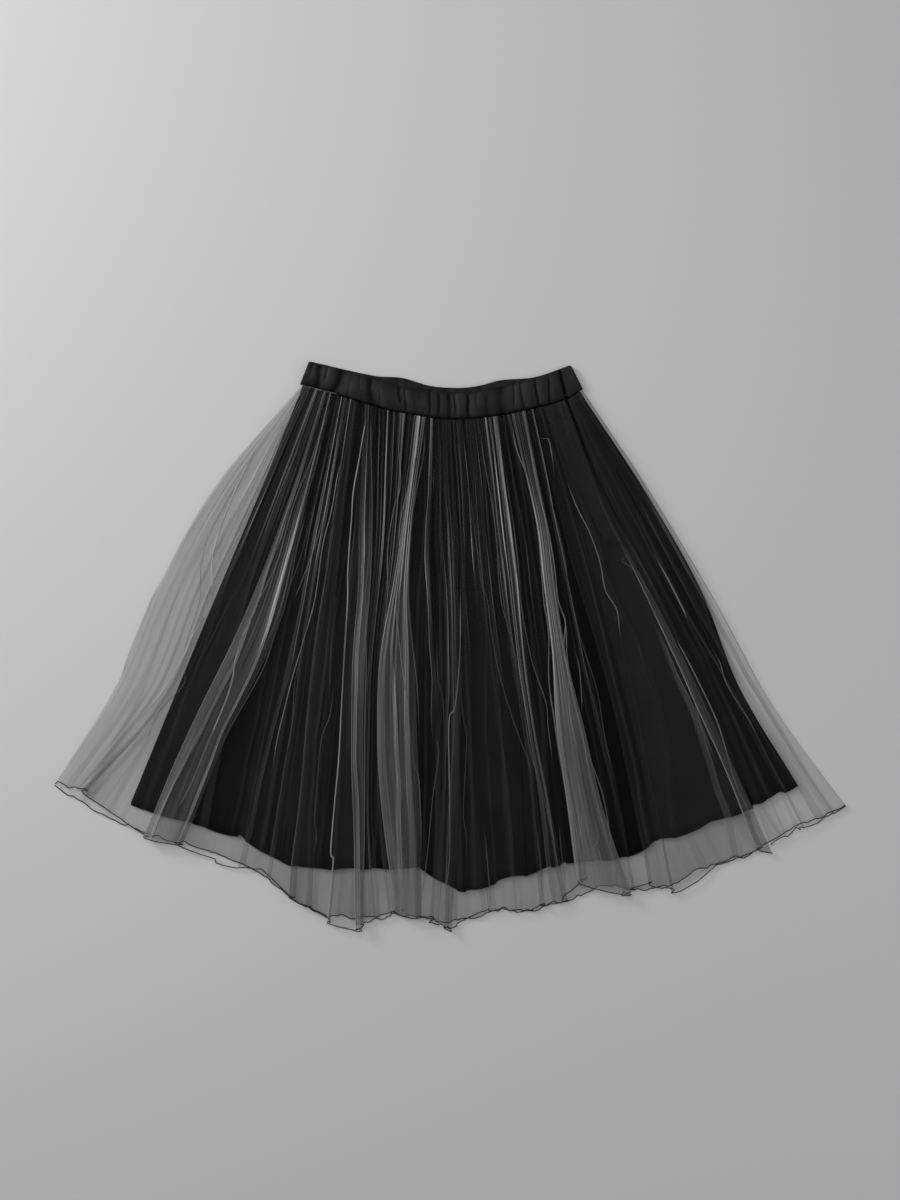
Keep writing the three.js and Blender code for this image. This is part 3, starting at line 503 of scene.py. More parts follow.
@dataclass
class Pleater:
    """Lays cloth along a table of fold lines, with its tucks, panels and fine gathers."""

    lines: list
    seam: list
    rows: int
    seed: int
    height: float = 2.6  # of a gather near the waist
    edge: float = 0.4  # half the width of a gather's edges
    line_layers: float = 1.2  # layers that the line along a gather's crest adds
    roam: float = 2.2  # how far a fold's edge wanders off its line
    bunching: float = 2.4  # how fast the layers past the first one add up
    waist_bunching: float = 0.42  # the same at the waist, in parts of that
    bunching_run: float = 0.32  # share of the fall in which it grows
    smooth_from: float = 0.72  # share of the fall past which hardly any fine gathers show
    least_fine: float = 0.1  # part of them that does
    gather: Gathers = Gathers()
    # Tucks
    tuck_columns: int = 7
    tuck_layers: float = 1.3
    tuck_at_waist: float = 0.22  # its width at the waist, in parts of that at the hem
    tuck_short: float = 0.12  # how much shorter its hidden edge hangs, in parts of its width
    least_rise: float = 1.5  # of a doubled band over its neighbour
    inner_rise: float = 0.25  # height of a tuck's hidden edge, in parts of that rise
    outer_rise: float = 0.7  # height of its outer edge
    begin_run: float = 0.12  # share of the fall in which a fold that starts below the waist begins
    # Panels
    corner: float = 0.16  # share of a panel in which it rounds down to each end
    waist_level: float = 0.45  # a panel's height at the waist, in parts of its level
    level_run: float = 0.4  # share of the fall in which it comes up to its level
    waist_rise: float = 0.35  # a gather's height at the waist seam, in parts of its full height
    hem_rise: float = 0.5  # and at the hem
    swag: float = 0.9  # height of the soft waves that the cloth has lower down
    swag_layers: float = 0.15  # part of the layers that comes and goes with them
    foot_from: float = 0.55  # share of the fall from which a panel has the layers of its foot
    least_layers: float = 0.1
    glint_varies: float = 0.25  # part of a bunched edge's layers that comes and goes
    glint_at_waist: float = 0.15  # part of them that is there at the waist
    hem_wave: float = 2.2  # how far the hem waves up and down
    shadow: float = 0.4  # painted shadow: part of the layers taken where a panel dips under a doubled band
    shadow_width: float = 6.0
    least_cloth: float = 3.0  # width of the narrowest piece in the cloth's own coordinates

    def wander(self, rng: np.random.Generator, t: Array, count: int, cells: int) -> Array:
        """Smooth wandering from -1 to 1 down the fall, for a number of lines, none at the waist."""
        return lattice_noise(rng, len(t), count, cells, max(1, count)) * ease(t * 3)[:, None]

    def begun(self, line: FoldLine, t: Array) -> Array:
        """How far a line's fold has come out at the shares t of the fall, from 0 to 1."""
        return ease((t - line.starts) / self.begin_run)

    def knots(self, rng: np.random.Generator, t: Array) -> list:
        """The turning points across the cloth.

        Args:
            rng: source of the edges' wandering.
            t: shares of the fall, one for each row.

        Returns:
            For each point its x, y and height down the fall, whether the cloth turns there, the line whose
            panel follows, or nothing before a tuck, and the layers that a bunched edge adds.
        """
        made = []
        level = self.lines[0].level
        for k, line in enumerate(self.lines):
            outer = k in (0, len(self.lines) - 1)
            x = line.x(t) + (0 if outer else self.roam) * self.wander(rng, t, 1, 7)[:, 0]
            y = line.y(t, self.seam)
            begun = self.begun(line, t)
            reach = line.tuck * mix(self.tuck_at_waist, 1.0, ease(t * 1.1)) * begun
            short = y + self.tuck_short * line.tuck * t
            if line.fold is Fold.RISE:
                rise = max(line.level - level, self.least_rise) * begun
                made.append((x + reach, short, level + self.inner_rise * rise, True, None, 0.0))
                made.append((x, y, level + self.outer_rise * rise, True, line, line.bright))
            elif line.fold is Fold.FALL:
                rise = max(level - line.level, self.least_rise) * begun
                made.append((x, y, line.level + self.outer_rise * rise, True, None, line.bright))
                made.append((x - reach, short, line.level + self.inner_rise * rise, True, line, 0.0))
            else:
                made.append((x, y, np.full(len(t), 0.5 * (level + line.level)), False, line, 0.0))
            level = line.level
        return made

    def lay(self) -> Cloth:
        """The whole cloth, panel by panel and tuck by tuck."""
        rng = np.random.default_rng(self.seed)
        t = shares_down(self.rows)
        knots = self.knots(rng, t)
        parts = []
        cloth_across = 0.0
        for k in range(len(knots) - 1):
            (x0, y0, z0, turn0, line, _), (x1, y1, z1, turn1, _, after) = knots[k : k + 2]
            if line is None:
                f = np.tile(np.arange(self.tuck_columns) / self.tuck_columns, (len(t), 1))
                z = mix(z0[:, None], z1[:, None], f)
                layers = np.full(f.shape, self.tuck_layers)
                dip = fine = np.zeros(f.shape)
            else:
                f, z, layers, dip = self.panel(rng, line, t, np.abs(x1 - x0), (z0, z1), (turn0, turn1), after)
                smoothed = ease(t / min(1.5 * line.reach, self.smooth_from))
                fine = min(1.0, line.gathers / 3) * mix(1.0, self.least_fine, smoothed)[:, None]
            if k == len(knots) - 2:
                last = (np.ones((len(t), 1)), z1[:, None], layers[:, -1:], dip[:, -1:])
                f, z, layers, dip = (np.concatenate(both, axis=1) for both in zip((f, z, layers, dip), last))
            g, h = f * f, f * f * f
            across = (h - 2 * g + f) * (not turn0) + (3 * g - 2 * h) + (h - g) * (not turn1)
            x = mix(x0[:, None], x1[:, None], across)
            y = mix(y0[:, None], y1[:, None], across) - dip
            cloth = max(abs(x1[-1] - x0[-1]), self.least_cloth)
            parts.append((x, y, z, cloth_across + cloth * f, layers, np.broadcast_to(fine, x.shape)))
            cloth_across += cloth
        x, y, z, u, layers, gathered = (np.concatenate(arrays, axis=1) for arrays in zip(*parts))
        fall = self.lines[0].y(t, self.seam)
        v = np.broadcast_to((fall[0] - fall)[:, None] * FALL_CLOTH, x.shape)
        bunching = self.bunching * mix(self.waist_bunching, 1.0, ease(t / self.bunching_run))[:, None]
        layers = np.where(layers > 1, 1 + bunching * (layers - 1), layers)
        return Cloth(np.stack([x, y, z], axis=-1), np.stack([u, v], axis=-1), layers, gathered)

    def columns(self, rng: np.random.Generator, panel: FoldLine, t: Array, wide: Array,
                turns: tuple) -> tuple:
        """The columns of a panel: its fine gathers, which start at the waist, wander, and die out at
        different depths, and the cloth between them.

        Args:
            rng: source of the gathers' places and sizes.
            panel: the fold line that the panel starts at.
            t: shares of the fall, one for each row.
            wide: the panel's width at each row.
            turns: whether its ends are turns of the cloth.

        Returns:
            The columns' shares of the panel, their rises from 0 to 1, and their layers, rows by columns.
        """
        g, n = self.gather, panel.gathers
        first, last = (g.margin if turn else 0.0 for turn in turns)
        pitch = (1 - first - last) / max(n, 1)
        crest = first + pitch * (np.arange(n) + 0.5 + rng.uniform(-g.stray, g.stray, n))
        crest = crest + pitch * (g.sway * self.wander(rng, t, n, 4) + g.shiver * self.wander(rng, t, n, 15))
        dies = panel.reach * rng.uniform(*g.dies, n)
        dies[rng.permutation(n)[: panel.long]] = g.never
        size = rng.uniform(*g.size, n)
        alive = size * (1 - ease((t[:, None] - dies) / g.die_run)) * self.begun(panel, t)[:, None]
        near, far = rng.uniform(*g.near, n), rng.uniform(*g.far, n)
        width = mix(near, far, t[:, None]) * mix(g.faded, 1, alive) / np.maximum(wide[:, None], 1)
        width = np.minimum(width * (1 + g.uneven * self.wander(rng, t, n, 11)), g.widest * pitch)
        edge = np.minimum(self.edge / np.maximum(wide, 1), g.sharpest * pitch)
        extra = rng.uniform(*g.layers, n) * alive
        lines = self.line_layers * extra * (1 - g.patchy + g.patchy * lattice_noise(rng, len(t), n, 9, n))
        ground = rng.uniform(*g.ground, n + 1)

        made = [(0.0, 0.0, ground[0])]
        if turns[0]:
            made += [(share, 0.0, ground[0]) for share in g.at_turn]
        for j in range(n):
            low, high = crest[:, j] - width[:, j] / 2, crest[:, j] + width[:, j] / 2
            start = made[-1][0]
            made += [(mix(start, low - edge, share), 0.0, ground[j]) for share in g.between]
            dense = ground[j] + extra[:, j]
            counts = [ground[j], dense + lines[:, j], dense, dense, dense, ground[j + 1]]
            places = [low - edge, low, low + edge, mix(low, high, 0.5), high - edge, high + edge]
            rises = g.rises
            if rng.random() < 0.5:
                counts[1:5] = counts[4:0:-1]
                places[1:5] = [low + edge, places[3], high - edge, high]
                rises = rises[::-1]
            made += [(place, rise * alive[:, j], count) for place, rise, count in zip(places, rises, counts)]
        start = made[-1][0]
        tail = g.before_turn if turns[1] else g.between
        made += [(mix(start, 1, share), 0.0, ground[n]) for share in tail]
        return tuple(np.stack([value + 0 * t for value in each], axis=1) for each in zip(*made))

    def panel(self, rng: np.random.Generator, panel: FoldLine, t: Array, wide: Array, z_ends: tuple,
              turns: tuple, after: float) -> tuple:
        """One panel: a plateau at its level, rounded down to both ends, with its fine gathers on it.

        Args:
            rng: source of the gathers and the waves.
            panel: the fold line that the panel starts at.
            t: shares of the fall, one for each row.
            wide: the panel's width at each row.
            z_ends: heights at its two ends, down the fall.
            turns: whether its ends are turns of the cloth.
            after: layers that the bunched edge at its right end adds.

        Returns:
            The columns' shares of the panel, their heights, their layers, and how far the hem dips, rows by
            columns.
        """
        f, rise, layers = self.columns(rng, panel, t, wide, turns)
        swell = mix(self.waist_level, 1.0, ease(t / self.level_run))[:, None]
        plateau, fall = ease(f / self.corner), ease((1 - f) / self.corner)
        z0, z1 = z_ends[0][:, None], z_ends[1][:, None]
        z = swell * (panel.level * plateau * fall + z0 * (1 - plateau) + z1 * (1 - fall))
        clear = np.minimum(plateau if turns[0] else 1.0, fall if turns[1] else 1.0)
        swag = lattice_noise(rng, *f.shape, 4, max(1, panel.gathers // 2)) * (t**1.5)[:, None]
        tall = self.height * mix(self.waist_rise, 1, ease(t * 9)) * mix(1, self.hem_rise, t)
        z = z + tall[:, None] * rise + self.swag * swag * clear

        amount = mix(panel.top, panel.foot, ease(t / self.foot_from))[:, None]
        layers = (layers + amount - 1) * (1 + self.swag_layers * swag + panel.shade * (2 * f - 1))
        falls = panel.fold is Fold.FALL
        # painted shadow beside a doubled band: fewer layers, so the net there shows darker
        if falls:
            layers = layers * (1 - self.shadow * bell(f * wide[:, None] / self.shadow_width))
        before = panel.bright * self.begun(panel, t)[:, None] if turns[0] and not falls else 0.0
        glint = 1 - self.glint_varies + self.glint_varies * lattice_noise(rng, len(t), 1, 8, 1)
        glint = glint * mix(self.glint_at_waist, 1, ease(t * 2.6))[:, None]
        for share, more in ((f, before), (1 - f, after if turns[1] else 0.0)):
            layers = layers + more * glint * bell(share * wide[:, None])
        dip = panel.bow * np.sin(np.pi * f)
        dip = dip + self.hem_wave * lattice_noise(rng, *f.shape, 1, panel.gathers + 1) * clear
        return f, z, np.maximum(layers, self.least_layers), dip * (t**8)[:, None]


def steepness(points: Array) -> Array:
    """How much cloth lies over each unit of plan, from 1 on flat cloth up: one over the normal's height.

    Args:
        points: rows x columns x 3.

    Returns:
        The factor at each point, at most STEEPEST.
    """
    down = np.gradient(points, axis=0)
    right = np.gradient(points, axis=1)
    normal = np.cross(down, right)
    length = np.linalg.norm(normal, axis=-1) + TINY
    return np.clip(length / (np.abs(normal[..., 2]) + TINY), 1, STEEPEST)


def node_group(name: str, inputs: list, outputs: list) -> Tree:
    """A shader node group with named inputs and outputs.

    Args:
        name: the group's name.
        inputs: pairs of a name and a default number, or None for a vector.
        outputs: names of its number outputs.

    Returns:
        The group, with its two end nodes.
    """
    group = bpy.data.node_groups.new(name, "ShaderNodeTree")
    for label, value in inputs:
        kind = "NodeSocketVector" if value is None else "NodeSocketFloat"
        socket = group.interface.new_socket(name=label, in_out="INPUT", socket_type=kind)
        if value is not None:
            socket.default_value = value
    for label in outputs:
        group.interface.new_socket(name=label, in_out="OUTPUT", socket_type="NodeSocketFloat")
    group.nodes.new("NodeGroupInput")
    group.nodes.new("NodeGroupOutput")
    return group


def ends(group: Tree) -> tuple:
    """The group's input and output nodes."""
    by_kind = {node.bl_idname: node for node in group.nodes}
    return by_kind["NodeGroupInput"], by_kind["NodeGroupOutput"]


def math_node(tree: Tree, operation: str, *values) -> Socket:
    """A Math node on sockets or numbers, and its output."""
    node = tree.nodes.new("ShaderNodeMath")
    node.operation = operation
    for slot, value in enumerate(values):
        if isinstance(value, Socket):
            tree.links.new(value, node.inputs[slot])
        else:
            node.inputs[slot].default_value = value
    return node.outputs[0]


def stretched(tree: Tree, vector: Socket, scale: tuple) -> Socket:
    """The coordinates, scaled by three numbers."""
    node = tree.nodes.new("ShaderNodeMapping")
    node.inputs["Scale"].default_value = scale
    tree.links.new(vector, node.inputs["Vector"])
    return node.outputs["Vector"]


def noise(tree: Tree, vector: Socket, scale: float, detail: float) -> Socket:
    """A Noise Texture's value, about 0.5."""
    node = tree.nodes.new("ShaderNodeTexNoise")
    node.inputs["Scale"].default_value = scale
    node.inputs["Detail"].default_value = detail
    tree.links.new(vector, node.inputs["Vector"])
    return node.outputs[0]


def crossed(tree: Tree, vector: Socket, rate) -> Socket:
    """The product of a wave across the cloth and one down it, from -1 to 1.

    Args:
        tree: the node tree.
        vector: the cloth's coordinates.
        rate: waves to a millimetre, a number or a socket.

    Returns:
        The product's socket.
    """
    split = tree.nodes.new("ShaderNodeSeparateXYZ")
    tree.links.new(vector, split.inputs[0])
    waves = []
    for axis in (0, 1):
        turns = math_node(tree, "MULTIPLY", split.outputs[axis], rate)
        waves.append(math_node(tree, "SINE", math_node(tree, "MULTIPLY", turns, math.tau)))
    return math_node(tree, "MULTIPLY", *waves)


def thin_lines(tree: Tree, wave: Socket, sharpness: float) -> Socket:
    """Lines, 1 at their middle and 0 beside them, where a smooth noise passes its middle value."""
    off = math_node(tree, "ABSOLUTE", math_node(tree, "MULTIPLY_ADD", wave, sharpness, -0.5 * sharpness))
    near = math_node(tree, "MAXIMUM", math_node(tree, "SUBTRACT", 1.0, off), 0.0)
    return math_node(tree, "POWER", near, 2.0)


def weave_group() -> Tree:
    """Threads that cross: the product of a fine ridge each way, with slubs. It gives height and shade."""
    group = node_group("weave", [("Coordinates", None), ("Threads per mm", 3.0), ("Unevenness", 0.4)],
                       ["Height", "Shade"])
    start, stop = ends(group)
    at = start.outputs["Coordinates"]
    cross = math_node(group, "MULTIPLY_ADD", crossed(group, at, start.outputs["Threads per mm"]), 0.5, 0.5)
    slub = math_node(group, "SUBTRACT", noise(group, stretched(group, at, (0.9, 0.05, 1)), 1.0, 3.0), 0.5)
    uneven = math_node(group, "MULTIPLY", slub, start.outputs["Unevenness"])
    group.links.new(math_node(group, "ADD", cross, uneven), stop.inputs["Height"])
    group.links.new(math_node(group, "ADD", uneven, 0.5), stop.inputs["Shade"])
    return group


# The thin lines of gathered net: stretch of their noise, sharpness, and the layers that they add or take
GATHER_LINES = (((0.13, 0.0012, 1), 9.0, 3.2), ((0.27, 0.003, 1), 8.0, 1.8), ((0.17, 0.002, 1.7), 4.0, -0.85))
NET_HOLE = 0.9  # millimetres from one of the net's holes to the next
LEAST_LAYERS = 0.15


def net_group() -> Tree:
    """Layers of net that cover a point: the cloth's fullness, times long uneven streaks that run down the
    fall and thin lines where the net is gathered, times the fine holes of the net."""
    group = node_group("net", [("Coordinates", None), ("Fullness", 1.0), ("Gathered", 0.0), ("Streaks", 0.6),
                               ("Holes", 0.2)], ["Layers", "Streak"])
    start, stop = ends(group)
    at = start.outputs["Coordinates"]
    broad = noise(group, stretched(group, at, (0.16, 0.006, 1)), 1.0, 1.0)
    fine = noise(group, stretched(group, at, (0.55, 0.009, 1)), 1.0, 2.0)
    uneven = math_node(group, "MULTIPLY_ADD", broad, 1.6, -0.8)
    streak = math_node(group, "ADD", uneven, thin_lines(group, fine, 6.0))
    factor = math_node(group, "MULTIPLY_ADD", streak, start.outputs["Streaks"], 0.9)
    for scale, sharpness, strength in GATHER_LINES:
        lines = thin_lines(group, noise(group, stretched(group, at, scale), 1.0, 0.0), sharpness)
        added = math_node(group, "MULTIPLY", start.outputs["Gathered"], strength)
        factor = math_node(group, "MULTIPLY_ADD", lines, added, factor)
    holes = math_node(group, "MULTIPLY", crossed(group, at, 1 / NET_HOLE), start.outputs["Holes"])
    factor = math_node(group, "MULTIPLY", factor, math_node(group, "SUBTRACT", 1.0, holes))
    layers = math_node(group, "MULTIPLY", start.outputs["Fullness"], factor)
    group.links.new(math_node(group, "MAXIMUM", layers, LEAST_LAYERS), stop.inputs["Layers"])
    group.links.new(streak, stop.inputs["Streak"])
    return group


def principled(name: str, settings: dict) -> tuple:
    """A new material and its main shader, with the values of some of the shader's sockets."""
    made = bpy.data.materials.new(name)
    made.use_nodes = True
    shader = made.node_tree.nodes["Principled BSDF"]
    for label, value in settings.items():
        shader.inputs[label].default_value = value
    return made, shader


def on_cloth(tree: Tree, group: Tree, settings: dict) -> ShaderNode:
    """A node group in a material, on the cloth's own coordinates.

    Args:
        tree: the material's tree.
        group: the group.
        settings: numbers of some of its inputs.

    Returns:
        The group's node.
    """
    uv = tree.nodes.new("ShaderNodeUVMap")
    uv.uv_map = "cloth"
    node = tree.nodes.new("ShaderNodeGroup")
    node.node_tree = group
    for label, value in settings.items():
        node.inputs[label].default_value = value
    tree.links.new(uv.outputs["UV"], node.inputs["Coordinates"])
    return node


def mesh_number(tree: Tree, name: str) -> Socket:
    """The number that the mesh holds at each point under a name."""
    node = tree.nodes.new("ShaderNodeAttribute")
    node.attribute_name = name
    return node.outputs["Fac"]


def paint(tree: Tree, shader: ShaderNode, colours: tuple, share: Socket) -> None:
    """Colours a shader from the first of two colours to the second, by a share."""
    blend = tree.nodes.new("ShaderNodeMix")
    blend.data_type = "RGBA"
    for label, colour in zip("AB", colours):
        blend.inputs[label].default_value = (*colour, 1)
    tree.links.new(share, blend.inputs["Factor"])
    tree.links.new(blend.outputs["Result"], shader.inputs["Base Color"])


def raise_bump(tree: Tree, shader: ShaderNode, height: Socket, strength: float, distance: float) -> None:
    """Lets a height from 0 to 1 stand out on a shader, by a distance in metres."""
    bump = tree.nodes.new("ShaderNodeBump")
    bump.inputs["Strength"].default_value = strength
    bump.inputs["Distance"].default_value = distance
    tree.links.new(height, bump.inputs["Height"])
    tree.links.new(bump.outputs["Normal"], shader.inputs["Normal"])


@dataclass(frozen=True)
class NetFinish:
    """Soft grey net: see-through, lighter where many layers of it lie together, partly by painted sheen."""

    name: str = "net"
    cover: float = 0.1  # share of the light that one layer stops
    single: tuple = (0.026, 0.026, 0.0265)
    # colour of bunched net, lighter than its yarn: partly denser net, partly painted sheen
    bunched_with_sheen: tuple = (0.4, 0.4, 0.404)
    thinnest: float = 1.2  # layers up to which the colour is that of single net
    thickest: float = 16.0  # layers from which it is that of bunched net
    streaks: float = 0.15
    holes: float = 0.1

    def material(self, group: Tree) -> Material:
        """The finish as a Blender material. Alpha is 1 - (1 - cover) ^ layers."""
        made, shader = principled(self.name, {"Roughness": 0.65, "Specular IOR Level": 0.05,
                                              "Sheen Weight": 0.04, "Sheen Roughness": 0.4})
        tree = made.node_tree
        net = on_cloth(tree, group, {"Streaks": self.streaks, "Holes": self.holes})
        for label in ("Fullness", "Gathered"):
            tree.links.new(mesh_number(tree, label.lower()), net.inputs[label])
        through = math_node(tree, "POWER", 1 - self.cover, net.outputs["Layers"])
        tree.links.new(math_node(tree, "SUBTRACT", 1.0, through), shader.inputs["Alpha"])
        share = tree.nodes.new("ShaderNodeMapRange")
        share.interpolation_type = "SMOOTHSTEP"
        share.inputs["From Min"].default_value = self.thinnest
        share.inputs["From Max"].default_value = self.thickest
        tree.links.new(net.outputs["Layers"], share.inputs["Value"])
        # from single to bunched net by the layers; the light end is partly painted sheen
        paint(tree, shader, (self.single, self.bunched_with_sheen), share.outputs["Result"])
        raise_bump(tree, shader, net.outputs["Streak"], 0.25, 0.0006)
        return made


@dataclass(frozen=True)
class WovenFinish:
    """Woven black cloth: satin for the underskirt, twill for the band, thread for the seams."""

    name: str
    colour: tuple
    toned_and_lit: tuple  # colour where the random tone and the painted light are highest
    roughness: float
    sheen: float
    specular: float
    threads: float  # to a millimetre
    bump: float

    def material(self, group: Tree) -> Material:
        """The finish as a Blender material: the weave tones the colour and raises the threads, and painted
        light and shade come from the fullness attribute.
        """
        made, shader = principled(self.name, {"Specular IOR Level": self.specular, "Sheen Weight": self.sheen,
                                              "Sheen Roughness": 0.35})
        tree = made.node_tree
        weave = on_cloth(tree, group, {"Threads per mm": self.threads})
        place = tree.nodes.new("ShaderNodeTexCoord")
        cloud = noise(tree, place.outputs["Object"], 14.0, 3.0)
        shade = math_node(tree, "MULTIPLY_ADD", weave.outputs["Shade"], 0.6, cloud)
        # painted light and shade: the fullness attribute sets how much of the lit colour black cloth shows
        lit = math_node(tree, "MULTIPLY", shade, mesh_number(tree, "fullness"))
        paint(tree, shader, (self.colour, self.toned_and_lit), lit)
        rough = math_node(tree, "MULTIPLY_ADD", cloud, 0.12, self.roughness - 0.06)
        tree.links.new(rough, shader.inputs["Roughness"])
        raise_bump(tree, shader, weave.outputs["Height"], self.bump, 0.0002)
        return made


@dataclass
class Finishes:
    """Every material of the skirt, made once."""

    net: Material = field(init=False)
    satin: Material = field(init=False)
    twill: Material = field(init=False)
    thread: Material = field(init=False)

    def __post_init__(self) -> None:
        """Makes the shared node groups and the materials on them."""
        weave = weave_group()
        self.net = NetFinish().material(net_group())
        for finish in (
            WovenFinish("satin", colour=(0.0008, 0.0008, 0.0009), toned_and_lit=(0.015, 0.015, 0.0153), roughness=0.45,
                        sheen=0.0, specular=0.04, threads=0.35, bump=0.0),
            WovenFinish("twill", colour=(0.0015, 0.0015, 0.0016), toned_and_lit=(0.022, 0.022, 0.0223), roughness=0.6,
                        sheen=0.02, specular=0.08, threads=0.5, bump=0.15),
            WovenFinish("thread", colour=(0.006, 0.006, 0.0062), toned_and_lit=(0.016, 0.016, 0.0163), roughness=0.6,
                        sheen=0.02, specular=0.1, threads=1.2, bump=0.5),
        ):
            setattr(self, finish.name, finish.material(weave))


def dress(piece: Object, finish: Material, slot: str, *nodes: str) -> Object:
    """Gives a piece its material and its body, and hides the solids that it stands for.

    Args:
        piece: the piece.
        finish: its material.
        slot: the name of a material slot; not used.
        nodes: solids that it replaces.

    Returns:
        The piece.
    """
    piece.data.materials.append(finish)
    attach(piece, "root")
    if nodes:
        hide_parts(*nodes)
    return piece


def thicken(piece: Object, wall: float) -> None:
    """Gives a sheet a wall below its surface, in millimetres."""
    solid = piece.modifiers.new("wall", "SOLIDIFY")
    solid.thickness = wall * MM
    solid.offset = -1


def unit(vectors: Array) -> Array:
    """The rows of an array of vectors, each brought to length 1."""
    return vectors / (np.linalg.norm(vectors, axis=1)[:, None] + TINY)


def thread_along(name: str, path: Array, radius: float) -> Object:
    """A thread or rolled edge: a small ring carried along a path, in planes square to it.

    Args:
        name: the piece's name.
        path: n x 3, in millimetres.
        radius: half its width.

    Returns:
        The tube.
    """
    way = unit(np.gradient(path, axis=0))
    side = unit(np.cross(way, np.array([0.0, 0.0, 1.0])))
    up = np.cross(side, way)
    turn = np.linspace(0, math.tau, THREAD_SIDES, endpoint=False)
    ring = np.cos(turn)[None, :, None] * side[:, None] + np.sin(turn)[None, :, None] * up[:, None]
    points = path[:, None] + radius * ring
    uv = np.stack(np.broadcast_arrays(run_along(path)[:, None], turn[None, :] * radius), axis=-1)
    return Cloth(points, uv, np.ones(points.shape[:2])).mesh(name, closed=True)


def laid_flat(left: FoldLine, right: FoldLine, hem: list, t: Array, columns: int) -> tuple:
    """A back panel that lies flat between two edge lines.

    Args:
        left, right: the lines.
        hem: points of its hem.
        t: shares of the fall, one for each row.
        columns: points across.

    Returns:
        Its x and y, rows by columns, and the columns' shares of its width.
    """
    share = np.linspace(0, 1, columns)[None, :]
    x = mix(left.x(t)[:, None], right.x(t)[:, None], share)
    top = along(BACK_SEAM, mix(left.waist, right.waist, share))
    return x, mix(top, along(hem, mix(left.hem, right.hem, share)), t[:, None]), share


def round_fold(under: Array, over: Array, reach: float = math.inf) -> Array:
    """Joins a lower and an upper layer by a round fold at their right-hand edge.

    Args:
        under, over: rows x columns x 3 points of the layers.
        reach: how far the fold may stand out.

    Returns:
        The points of the lower layer, the fold and the upper layer.
    """
    turn = np.linspace(-0.5, 0.5, FOLD_POINTS)[None, 1:-1] * math.pi
    low, high = under[:, -1:, 2], over[:, :1, 2]
    radius = (high - low) / 2
    x = under[:, -1:, 0] + np.minimum(radius, reach) * np.cos(turn)
    z = (low + high) / 2 + radius * np.sin(turn)
    fold = np.stack([x, np.broadcast_to(under[:, -1:, 1], x.shape), z], -1)
    return np.concatenate([under, fold, over], axis=1)


def flat_uv(points: Array, fall: Array) -> Array:
    """Millimetres of cloth across, measured along the hem, and down, by the rows' distances to the waist."""
    return np.stack(np.broadcast_arrays(run_along(points[-1])[None, :], fall[:, None]), axis=-1)


def widened(columns: int, values: Array, filler: float) -> Array:
    """An array widened to a number of columns, with one number in the new ones on the left."""
    return np.pad(values, ((0, 0), (columns - values.shape[1], 0)), constant_values=filler)


